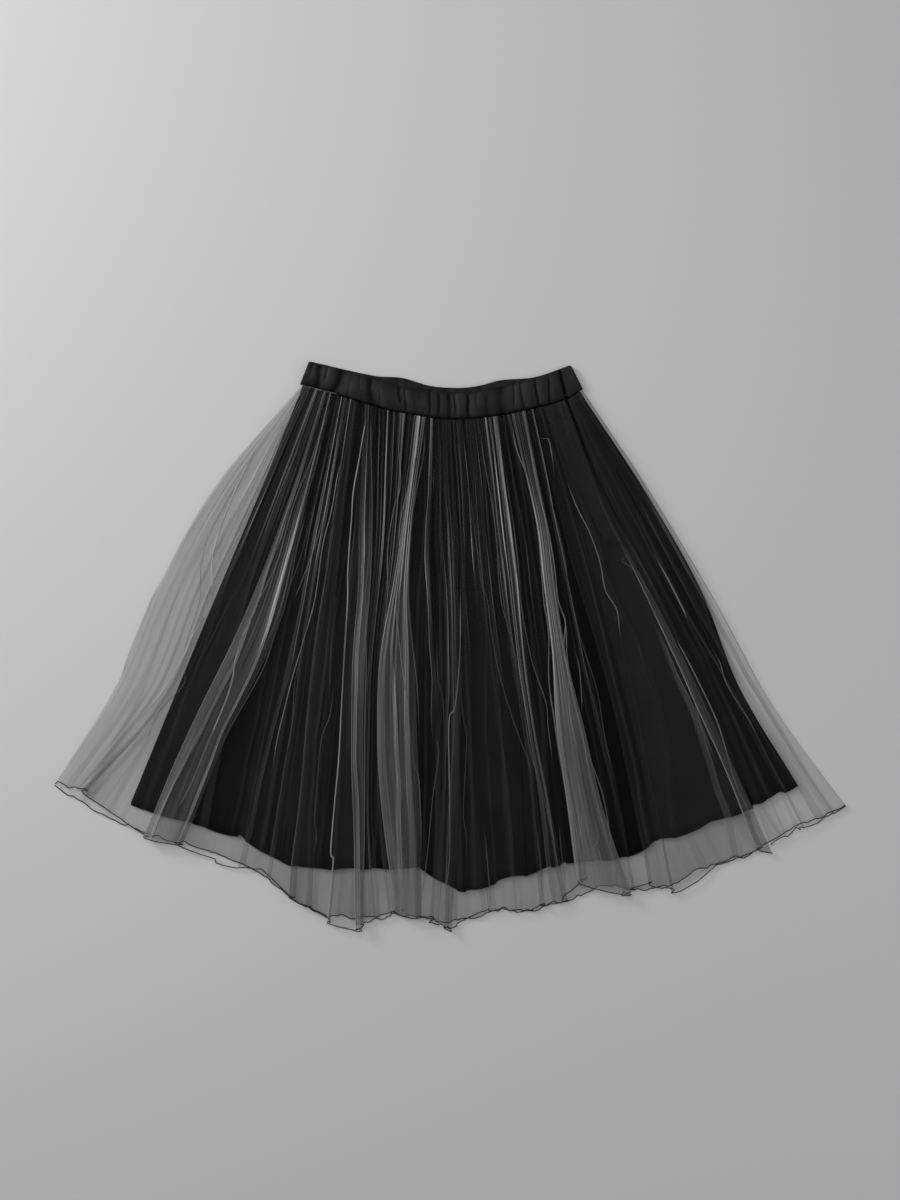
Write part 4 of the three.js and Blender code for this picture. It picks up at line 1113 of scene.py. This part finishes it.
@dataclass
class NetLayer:
    """The grey net: the gathered front, and the back that comes round the right-hand fold."""

    finishes: Finishes
    lift: float = 0.5  # of the front over what carries it
    over_lift: float = 0.9  # of the back's upper layer, to its middle
    ripple: float = 0.35
    ripple_run: float = 60.0  # distance from the waist in which the ripples come up
    steep_layers: float = 3.0  # most layers that a gather's steep sides count as
    fold_reach: float = 1.8
    fold_layers: float = 3.0
    fold_height: float = 0.25  # of the back's low folds, and the layers that they add
    left_fuller: tuple = (0.5, 0.16)  # layers that the back's left edge adds, and the share of the width
    hem_layers_and_shade: float = 2.2  # layers added near the back's hem: partly doubled net, partly painted shade over the floor
    edge_rows: tuple = (0.72, 0.14)  # share of the fall where it starts, and the share in which it comes up
    edge_left: tuple = (-390.0, 70.0)  # x where it starts, and the distance in which it comes up
    edge_right: tuple = (430.0, 120.0)
    wave_zone: float = 34.0  # of the hem's waves
    hem_width: float = 0.6
    ridge_step: float = 5.0
    ridge_clear: float = 0.3
    ridge_height: float = 0.5
    ridge_end: float = 45.0  # over which a ridge dies out
    ridge_tip: float = 0.15  # part of its width that is left at its tips
    over: Array = None  # points of the back's upper layer, once it is made

    def front(self) -> Object:
        """The front: its folds, its gathers and its hem."""
        cloth = Pleater(NET_FRONT, FRONT_SEAM, rows=96, seed=11).lay()
        x, y = cloth.points[..., 0], cloth.points[..., 1]
        ripple = self.ripple * lattice_noise(np.random.default_rng(5), *x.shape, 7, 90)
        cloth.points[..., 2] += net_support(x, y) + self.lift + ripple * ease((y[:1] - y) / self.ripple_run)
        self.ruffle(cloth.points, 6, 60)
        cloth.fullness *= np.sqrt(np.minimum(steepness(cloth.points), self.steep_layers))
        piece = dress(cloth.mesh("net_front"), self.finishes.net, "tulle", "tulle_front")
        hem = self.hem("hem_front", cloth.points[-1])
        ridges = self.ridges(np.concatenate([cloth.points.reshape(-1, 3)[::3], self.over.reshape(-1, 3)]))
        return piece

    def ribbon(self, ridge: Ridge, net: Array) -> tuple:
        """A ridge's narrow arched ribbon, just over the nearest points of the net, narrower towards its tips.

        Args:
            ridge: the ridge.
            net: n x 3 points of the net.

        Returns:
            Its points, rows x columns x 3, and its layers, rows x columns.
        """
        stops = ridge.path.astype(float)
        length = run_along(stops)[-1]
        path = curve_through(stops, np.linspace(0, len(stops) - 1, max(5, int(length / self.ridge_step))))
        close = ((path[:, None] - net[None, :, :2]) ** 2).sum(-1).argmin(1)
        z = np.convolve(np.pad(net[close, 2], 2, mode="edge"), np.ones(5) / 5, mode="valid")[:, None]
        way = unit(np.gradient(path, axis=0))
        side = np.stack([-way[:, 1], way[:, 0]], -1)
        share = np.linspace(0, 1, len(path))
        taper = ease(np.minimum(share, 1 - share) * length / self.ridge_end)[:, None]
        across = np.linspace(-0.5, 0.5, 5)[None, :]
        offset = ridge.width * mix(self.ridge_tip, 1.0, taper) * across
        xy = path[:, None] + side[:, None] * offset[..., None]
        up = z + self.ridge_clear + self.ridge_height * taper * (1 - 4 * across**2)
        return np.concatenate([xy, up[..., None]], -1), np.broadcast_to(ridge.layers * taper, up.shape)

    def ridges(self, net: Array) -> Object:
        """The thin ridges into which the net is pinched, as one piece on the net's points, n x 3."""
        points, quads, layers = [], [], []
        count = 0
        for ridge in RIDGES:
            ribbon, full = self.ribbon(ridge, net)
            points.append(ribbon.reshape(-1, 3))
            layers.append(full.ravel())
            quads.append(grid_quads(count + np.arange(full.size).reshape(full.shape))[:, ::-1])
            count += full.size
        points = np.concatenate(points)
        piece = quad_object("net_ridges", points * MM, np.concatenate(quads), points[:, :2],
                            {"fullness": np.concatenate(layers), "gathered": np.zeros(len(points))})
        return dress(piece, self.finishes.net, "tulle")

    def back(self) -> Object:
        """The back: flat from the left edge to the right-hand fold, round it, and over itself to the seam."""
        rows, columns = 70, 420
        t = shares_down(rows)
        x, y, share = laid_flat(NET_FRONT[0], NET_RETURN[0], NET_BACK_HEM, t, columns)
        rng = np.random.default_rng(21)
        folds = lattice_noise(rng, rows, columns, 3, 46)
        pleats = np.clip(lattice_noise(rng, rows, columns, 2, 120) - 0.45, 0, 1)
        under = np.stack([x, y, BACK_NET + self.fold_height * (1 + folds)], -1)
        full = 0.9 + self.fold_height * folds + 3.0 * pleats
        more, width = self.left_fuller
        full += more * ease(1 - share / width) * ease((1.1 - t) / 0.4)[:, None]
        (row, rise), (left, in_left), (right, in_right) = self.edge_rows, self.edge_left, self.edge_right
        here = ease((x - left) / in_left) * ease((right - x) / in_right)
        # painted shade near the hem: more dark net over the pale floor, where the floor lies in shadow
        full += self.hem_layers_and_shade * ease((t - row) / rise)[:, None] * here
        over = Pleater(NET_RETURN, FRONT_SEAM, rows=rows, seed=4, height=1.0).lay()
        over.points[..., 2] += net_support(over.points[..., 0], over.points[..., 1]) + self.over_lift
        points = round_fold(under, over.points, self.fold_reach)
        bend = np.full((rows, FOLD_POINTS - 2), self.fold_layers)
        full = np.concatenate([full, bend, over.fullness], axis=1)
        self.ruffle(points, 9, 70)
        points[..., 2] = np.maximum(points[..., 2], BACK_NET)
        self.over = points[:, -over.fullness.shape[1]:]
        gathered = widened(full.shape[1], 0.4 * over.gathered, 0.0)
        cloth = Cloth(points, flat_uv(points, (y[0, 0] - y[:, 0]) * FALL_CLOTH), full, gathered)
        piece = dress(cloth.mesh("net_back"), self.finishes.net, "tulle", "tulle_back")
        hem = self.hem("hem_back", points[-1])
        return piece

    def ruffle(self, points: Array, seed: int, cells: int) -> None:
        """Small uneven waves of the hem, in the last centimetres of the cloth.

        Args:
            points: the cloth's points, which are moved.
            seed: of the waves.
            cells: number of waves across.
        """
        rng = np.random.default_rng(seed)
        near = ease(1 - (points[..., 1] - points[-1:, :, 1]) / self.wave_zone)
        for axis, size, lift in ((0, 1.6, 0.0), (1, 3.2, 0.0), (2, 1.3, 1.2)):
            wave = lattice_noise(rng, *near.shape, 2, cells)
            wave = wave + 0.5 * lattice_noise(rng, *near.shape, 2, 3 * cells)
            points[..., axis] += near * (lift + size * wave)

    def hem(self, name: str, path: Array) -> Object:
        """The rolled hem: a dark overlocked edge along the cloth's last row."""
        return dress(thread_along(name, path, self.hem_width), self.finishes.thread, "waistband")


@dataclass
class Underskirt:
    """The opaque black layer: its front, and its back that comes round the right-hand fold."""

    finishes: Finishes
    wall: float = 0.5
    back_wall: float = 0.4
    lift: float = 0.4  # of the front over what carries it
    back_lift: float = 0.5
    over_lift: float = 0.9  # of the back's upper layer
    shade: float = 0.1  # share of its light that the back's hidden part shows
    bar_from: float = 184.0  # x of the bar's two ends
    bar_to: float = 214.5
    bar_rows: tuple = ((1.2, 8.2), (-1.4, 8.0))  # each row's distance above the opening's foot, and height
    bar_slope: float = 2.0 / 30
    bar_thread: float = 0.45
    facing_run: tuple = (24.0, 182.0)  # distances from the waist seam to its two ends
    facing_width: tuple = (30.0, 0.8)  # distances of its two edges from the opening

    def pleater(self, lines: list, rows: int, seed: int, height: float) -> Pleater:
        """A pleater for the underskirt's broad, soft gathers."""
        return Pleater(lines, FRONT_SEAM, rows, seed, height, edge=3.0, roam=0.0, bunching=1.0)

    def front(self) -> Object:
        """The front, from the left side seam to the opening."""
        cloth = self.pleater(UNDER_LINES, 60, 31, 2.6).lay()
        cloth.points[..., 2] += sprung(cloth.points[..., 1], WAIST_UNDER, UNDER_FRONT) + self.lift
        piece = dress(cloth.mesh("underskirt_front_cloth"), self.finishes.satin, "underskirt",
                      "underskirt_front")
        thicken(piece, self.wall)
        return piece

    def back(self) -> Object:
        """The back, laid flat, round the right-hand fold and back to the opening."""
        rows, columns = 50, 160
        t = np.linspace(0, 1, rows)
        x, y, _ = laid_flat(UNDER_LINES[0], UNDER_RETURN[0], UNDER_HEM, t, columns)
        under = np.stack([x, y, np.full(x.shape, UNDER_BACK + self.back_lift)], -1)
        over = self.pleater(UNDER_RETURN, rows, 8, 1.8).lay()
        # The upper layer's rows are brought to the even spacing of the lower one's
        place = np.interp(t, shares_down(rows), np.arange(rows))
        row = np.clip(place.astype(int), 0, rows - 2)
        part = (place - row)[:, None]
        points = mix(over.points[row], over.points[row + 1], part[..., None])
        lit = mix(over.fullness[row], over.fullness[row + 1], part)
        points[..., 2] += sprung(points[..., 1], WAIST_UNDER, UNDER_FRONT) + self.over_lift
        points = round_fold(under, points)
        cloth = Cloth(points, flat_uv(points, y[0, 0] - y[:, 0]), widened(points.shape[1], lit, self.shade))
        piece = dress(cloth.mesh("underskirt_back_cloth"), self.finishes.satin, "underskirt",
                      "underskirt_back")
        thicken(piece, self.back_wall)
        return piece

    def bar(self) -> Object:
        """The bar of stitches across the opening's foot, through the net: two rows of dark thread."""
        x = np.linspace(self.bar_from, self.bar_to, 24)
        rows = []
        for above, level in self.bar_rows:
            y = OPENING_END + above - self.bar_slope * (x - self.bar_from)
            rows.append(np.stack([x, y, np.full(x.shape, level)], -1))
        path = np.concatenate([rows[0], rows[1][::-1]])
        return dress(thread_along("opening_bar", path, self.bar_thread), self.finishes.thread, "waistband")

    def facing(self) -> Object:
        """The smooth strip that faces the opening, on the underskirt."""
        side = UNDER_LINES[-1]
        fall = float(along(FRONT_SEAM, np.array(side.waist))) - side.end
        t = np.linspace(*self.facing_run, 40) / fall
        inward = np.linspace(*self.facing_width, 10)[None, :]
        x = side.x(t)[:, None] - inward
        y = np.broadcast_to(side.y(t, FRONT_SEAM)[:, None], x.shape)
        points = np.stack([x, y, np.full(x.shape, FACING + self.over_lift)], -1)
        uv = np.stack(np.broadcast_arrays(-inward, y[:1] - y), axis=-1)
        # fullness 1: the facing shows the satin's painted light in full
        piece = dress(Cloth(points, uv, np.ones(x.shape)).mesh("placket_strip"), self.finishes.satin,
                      "underskirt", "placket_facing")
        thicken(piece, self.wall)
        return piece


@dataclass(frozen=True)
class Crease:
    """A crease across the band's front, where the elastic draws it in."""

    x: float  # at its middle
    depth: float
    half_width: float
    lean: float  # how far its top stands to the right of its foot
    low: float  # shares of the band's height at which it fades in and out
    high: float


@dataclass
class Waistband:
    """The elasticated band: one casing from the opening across the front, round the left, across the back,
    round the right and on to the opening's other edge."""

    finishes: Finishes
    wall: float = 3.2
    back_wall: float = 2.9  # height of the back's inner face
    table_gap: float = 0.15  # below the back's outer face
    level: float = 3.3  # height of the front's inner face
    crown: float = 1.1  # how far the middle of the front swells out
    tab_crown: float = 0.5
    seam_gap: float = 1.1  # from the cloth's seam to the band's edge
    turn_reach: tuple = (2.4, 0.2)  # how far the outer and the inner face stand out at the side turns
    inner_turn: float = 0.2  # half the height of the inner face's turns
    recess: float = 0.3  # share of the light that a millimetre of a crease's depth costs
    crest_light: float = 0.62  # share of the light that the front's crown shows
    spread: float = 1.35  # width of a crease's trough, in parts of the table's
    trough: float = 1.5  # its depth, in the same way
    swell: float = 0.9  # height of the swell beside it
    bend: float = 0.6  # how far its line bends
    fade: float = 0.12  # share of the band's height in which it fades, to both sides of its end
    pucker: float = 0.5  # height of the fine puckers
    left: tuple = (-185.6, -174.4)  # x of the band's foot and its top, at the left turn
    right: tuple = (163.1, 148.1)
    slit: tuple = (144.4, 135.8)
    slit_gap: float = 2.0
    columns: int = 520
    back_columns: int = 200
    tab_columns: int = 30
    turn_points: int = 12
    creases: tuple = tuple(Crease(*row) for row in (
        (-174, 0.8, 1.0, 5, 0.35, 1.0), (-163.5, 1.6, 2.6, 5, 0.0, 1.0), (-155, 1.0, 1.0, 3, 0.4, 1.0),
        (-139, 2.2, 4.0, 13, 0.0, 1.0), (-126, 0.7, 1.4, 5, 0.0, 0.5), (-113, 0.6, 1.2, 2, 0.4, 1.0),
        (-99, 1.7, 3.0, -2, 0.0, 1.0), (-88, 0.6, 1.0, 1, 0.0, 0.6), (-62, 1.5, 1.7, -3, 0.35, 1.0),
        (-56, 1.3, 1.2, -1, 0.1, 0.9), (-44, 0.6, 2.0, 0, 0.0, 0.6), (-25.5, 1.3, 1.2, 2, 0.0, 1.0),
        (-14, 1.2, 1.5, 1, 0.0, 0.9), (-1, 1.5, 2.2, 0, 0.0, 1.0), (6, 1.2, 1.2, -1, 0.1, 1.0),
        (22, 1.9, 1.5, -1, 0.0, 1.0), (33, 0.7, 1.2, -4, 0.4, 1.0), (46, 0.6, 2.0, -1, 0.0, 0.8),
        (64, 1.4, 4.0, -1, 0.0, 1.0), (79, 1.1, 1.0, -2, 0.2, 1.0), (89, 1.3, 1.4, -4, 0.0, 1.0),
        (107.5, 1.7, 0.9, -4, 0.0, 1.0), (123, 1.2, 0.9, -3, 0.0, 0.9),
    ))

    def relief(self, x: Array, across: Array) -> Array:
        """Height of the front's crinkles: a crown across the band, less a trough at each crease, with a soft
        swell beside it, plus fine puckers.

        Args:
            x: where the points lie along the band, in millimetres.
            across: shares of the band's height, 0 at the seam and 1 at the top.

        Returns:
            The height over the casing's plain face.
        """
        height = self.crown * np.sin(np.pi * np.clip(across, 0, 1)) ** 0.6
        rng = np.random.default_rng(77)
        for crease in self.creases:
            half = self.spread * crease.half_width
            broad = 2.2 * half + rng.uniform(1.5, 4.0)
            centre = crease.x + crease.lean * (across - 0.5) + self.bend * np.sin(across * 6 + crease.x)
            above, below = across - crease.low, crease.high - across
            inside = ease(0.5 + 0.5 * above / self.fade) * ease(0.5 + 0.5 * below / self.fade)
            trough, swell = bell((x - centre) / half), bell((x - centre - half - 0.7 * broad) / broad)
            height = height + crease.depth * inside * (self.swell * swell - self.trough * trough)
        puckers = lattice_noise(rng, *x.shape, 2, 26) + 0.35 * lattice_noise(rng, *x.shape, 4, 90)
        return height + self.pucker * puckers

    def scallop(self, x: Array, across: Array) -> Array:
        """How far the creases draw in the front's two edges, in y."""
        drawn = 0.0
        for crease in self.creases:
            off = x - crease.x - crease.lean * (across - 0.5)
            drawn = drawn + 0.7 * crease.depth * bell(off / (2.2 + crease.half_width))
        return -drawn * (2 * across - 1) ** 3

    def strip(self, start: tuple, end: tuple, columns: int, across: Array, edges: tuple) -> tuple:
        """One flat stretch of the band, straight from its seam to its top edge.

        Args:
            start, end: x of its foot and its top, at its two ends.
            columns: points along it.
            across: shares of the band's height, as a column.
            edges: points of its seam and of its top edge.

        Returns:
            x and y of its points.
        """
        share = np.linspace(0, 1, columns)
        foot, top = (mix(start[k], end[k], share) for k in (0, 1))
        y = mix(along(edges[0], foot)[None, :] + self.seam_gap, along(edges[1], top)[None, :], across)
        return mix(foot[None, :], top[None, :], across), y

    def face(self, across: Array, outside: bool) -> tuple:
        """The casing's outer or inner face: front, left turn, back, right turn and tab.

        Args:
            across: shares of the band's height, one for each row.
            outside: whether it is the outer face.

        Returns:
            Its points, rows x columns x 3, and the shares of its light that they show.
        """
        a = across[:, None]
        near, far = (tuple(x + side * self.slit_gap for x in self.slit) for side in (-1, 1))
        f_x, f_y = self.strip(near, self.left, self.columns, a, (FRONT_SEAM, FRONT_TOP))
        b_x, b_y = self.strip(self.left, self.right, self.back_columns, a, (BACK_SEAM, BACK_TOP))
        t_x, t_y = self.strip(self.right, far, self.tab_columns, a, (FRONT_SEAM, FRONT_TOP))
        f_y = f_y + self.scallop(f_x, a)
        relief = self.relief(f_x, np.broadcast_to(a, f_x.shape))
        if outside:
            edge = np.sin(np.pi * a) ** 0.25
            share = np.linspace(0, 1, self.columns)[None, :]
            f_z = self.level + (self.wall + relief * ease(share / 0.01) * ease((1 - share) / 0.02)) * edge
            b_z = self.table_gap * (2 - edge)
            t_z = self.level + (self.wall + self.tab_crown * np.sin(np.pi * a)) * edge
            middle = lift = (self.level + self.wall) / 2
        else:
            edge = np.ones_like(a)
            f_z = t_z = self.level
            b_z = self.back_wall
            middle, lift = (self.back_wall + self.level) / 2, self.inner_turn
        angle = np.linspace(0.5, -0.5, self.turn_points)[None, 1:-1] * math.pi
        reach = self.turn_reach[0 if outside else 1] * np.cos(angle)
        rise = lift * np.sin(angle)
        stretches = (
            (f_x, f_y, f_z),
            (b_x[:, :1] - reach, b_y[:, :1], middle + rise * edge),
            (b_x, b_y, b_z),
            (b_x[:, -1:] + reach, b_y[:, -1:], middle - rise * edge),
            (t_x, t_y, t_z),
        )
        points = np.concatenate([np.stack(np.broadcast_arrays(*each), -1) for each in stretches], axis=1)
        # painted light and shade: the crown lighter, each crease darker by its depth, the back dark behind
        # the slit, the turns and the tab at set shares
        front = np.clip(self.crest_light + self.recess * (relief - self.crown), 0.04, 1.3)
        back = 0.55 + 0.35 * lattice_noise(np.random.default_rng(3), *b_x.shape, 2, 60)
        back = back * ease((np.abs(b_x - sum(self.slit) / 2) - 5) / 6)  # painted shade behind the slit
        turn = np.full((len(across), angle.size), 0.6)
        return points, np.concatenate([front, turn, back, turn, np.full(t_x.shape, 0.75)], axis=1)

    def build(self) -> Object:
        """The casing as one closed surface with flat rounded edges and closed ends."""
        outer, outer_shade = self.face(np.linspace(0, 1, 26), True)
        inner, inner_shade = self.face(np.linspace(1, 0, 12), False)
        points = np.swapaxes(np.concatenate([outer, inner]), 0, 1)
        shade = np.concatenate([outer_shade, inner_shade]).T
        shade = np.concatenate([shade[:1], shade, shade[-1:]])
        caps = [np.broadcast_to(points[k].mean(0), points[k].shape)[None] for k in (0, -1)]
        points = np.concatenate([caps[0], points, caps[1]])
        along_it, round_it = run_along(points[:, 12]), run_along(points[5])
        uv = np.stack(np.broadcast_arrays(along_it[:, None], round_it[None, :]), -1)
        piece = Cloth(points, uv, shade).mesh("waistband_casing", closed=True)
        dress(piece, self.finishes.twill, "waistband", "waistband")
        return piece


@dataclass
class Studio:
    """A pale floor, soft light from above and the left, and a camera straight above, as in the photograph."""

    pixel: float = 1.25  # millimetres of skirt to a pixel of the photograph
    width: int = 900
    height: int = 1200
    origin_px: tuple = (450.5, 645.0)
    lens: float = 50.0
    sensor: float = 36.0

    def build(self) -> None:
        """The floor, the lights, the world and the camera."""
        self.floor()
        self.lights()
        self.camera()

    def floor(self) -> None:
        """A plain pale floor, just below the skirt."""
        size, level = 4.0, -0.0004
        corners = [(-size, -size, level), (size, -size, level), (size, size, level), (-size, size, level)]
        floor = quad_object("floor", np.array(corners), np.array([[0, 1, 2, 3]]))
        made, _ = principled("floor", {"Base Color": (0.5, 0.5, 0.502, 1), "Roughness": 0.85,
                                       "Specular IOR Level": 0.2})
        floor.data.materials.append(made)

    def lights(self) -> None:
        """A large soft light overhead, a key from the upper left and a low fill from the right."""
        world = bpy.data.worlds.new("studio")
        world.use_nodes = True
        world.node_tree.nodes["Background"].inputs["Color"].default_value = (1, 1, 1, 1)
        world.node_tree.nodes["Background"].inputs["Strength"].default_value = 0.35
        bpy.context.scene.world = world
        for name, place, size, power in (
            ("overhead", (-0.9, 0.9, 2.4), 1.8, 24),
            ("key", (-2.0, 1.3, 1.0), 0.7, 42),
            ("fill", (1.9, -0.5, 1.2), 0.9, 7),
        ):
            light = bpy.data.lights.new(name, "AREA")
            light.size = size
            light.energy = power
            lamp = bpy.data.objects.new(name, light)
            lamp.location = place
            x, y, z = (-number for number in place)  # towards the skirt
            tilt = math.pi / 2 + math.atan2(z, math.hypot(x, y))
            lamp.rotation_euler = (tilt, 0, math.atan2(y, x) - math.pi / 2)
            bpy.context.scene.collection.objects.link(lamp)

    def camera(self) -> None:
        """Straight above, with the photograph's whole frame in view."""
        made = bpy.data.cameras.new("camera")
        made.lens = self.lens
        made.sensor_width = self.sensor
        lens = bpy.data.objects.new("camera", made)
        middle_x = (self.width / 2 - self.origin_px[0]) * self.pixel
        middle_y = (self.origin_px[1] - self.height / 2) * self.pixel
        away = self.height * self.pixel * self.lens / self.sensor
        lens.location = (middle_x * MM, middle_y * MM, away * MM)
        bpy.context.scene.collection.objects.link(lens)
        bpy.context.scene.camera = lens


def main() -> None:
    """Builds the skirt piece by piece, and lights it."""
    logging.basicConfig(level=logging.INFO, format="%(name)s: %(message)s")
    scene = bpy.context.scene
    scene.view_settings.view_transform = "Standard"
    scene.cycles.transparent_max_bounces = 32
    Studio().build()
    finishes = Finishes()
    net, under = NetLayer(finishes), Underskirt(finishes)
    for piece in (net.back(), under.back(), under.front(), under.facing(), under.bar(), net.front(),
                  Waistband(finishes).build()):
        LOG.info("%s: %d faces", piece.name, len(piece.data.polygons))


if __name__ == "__main__":
    main()
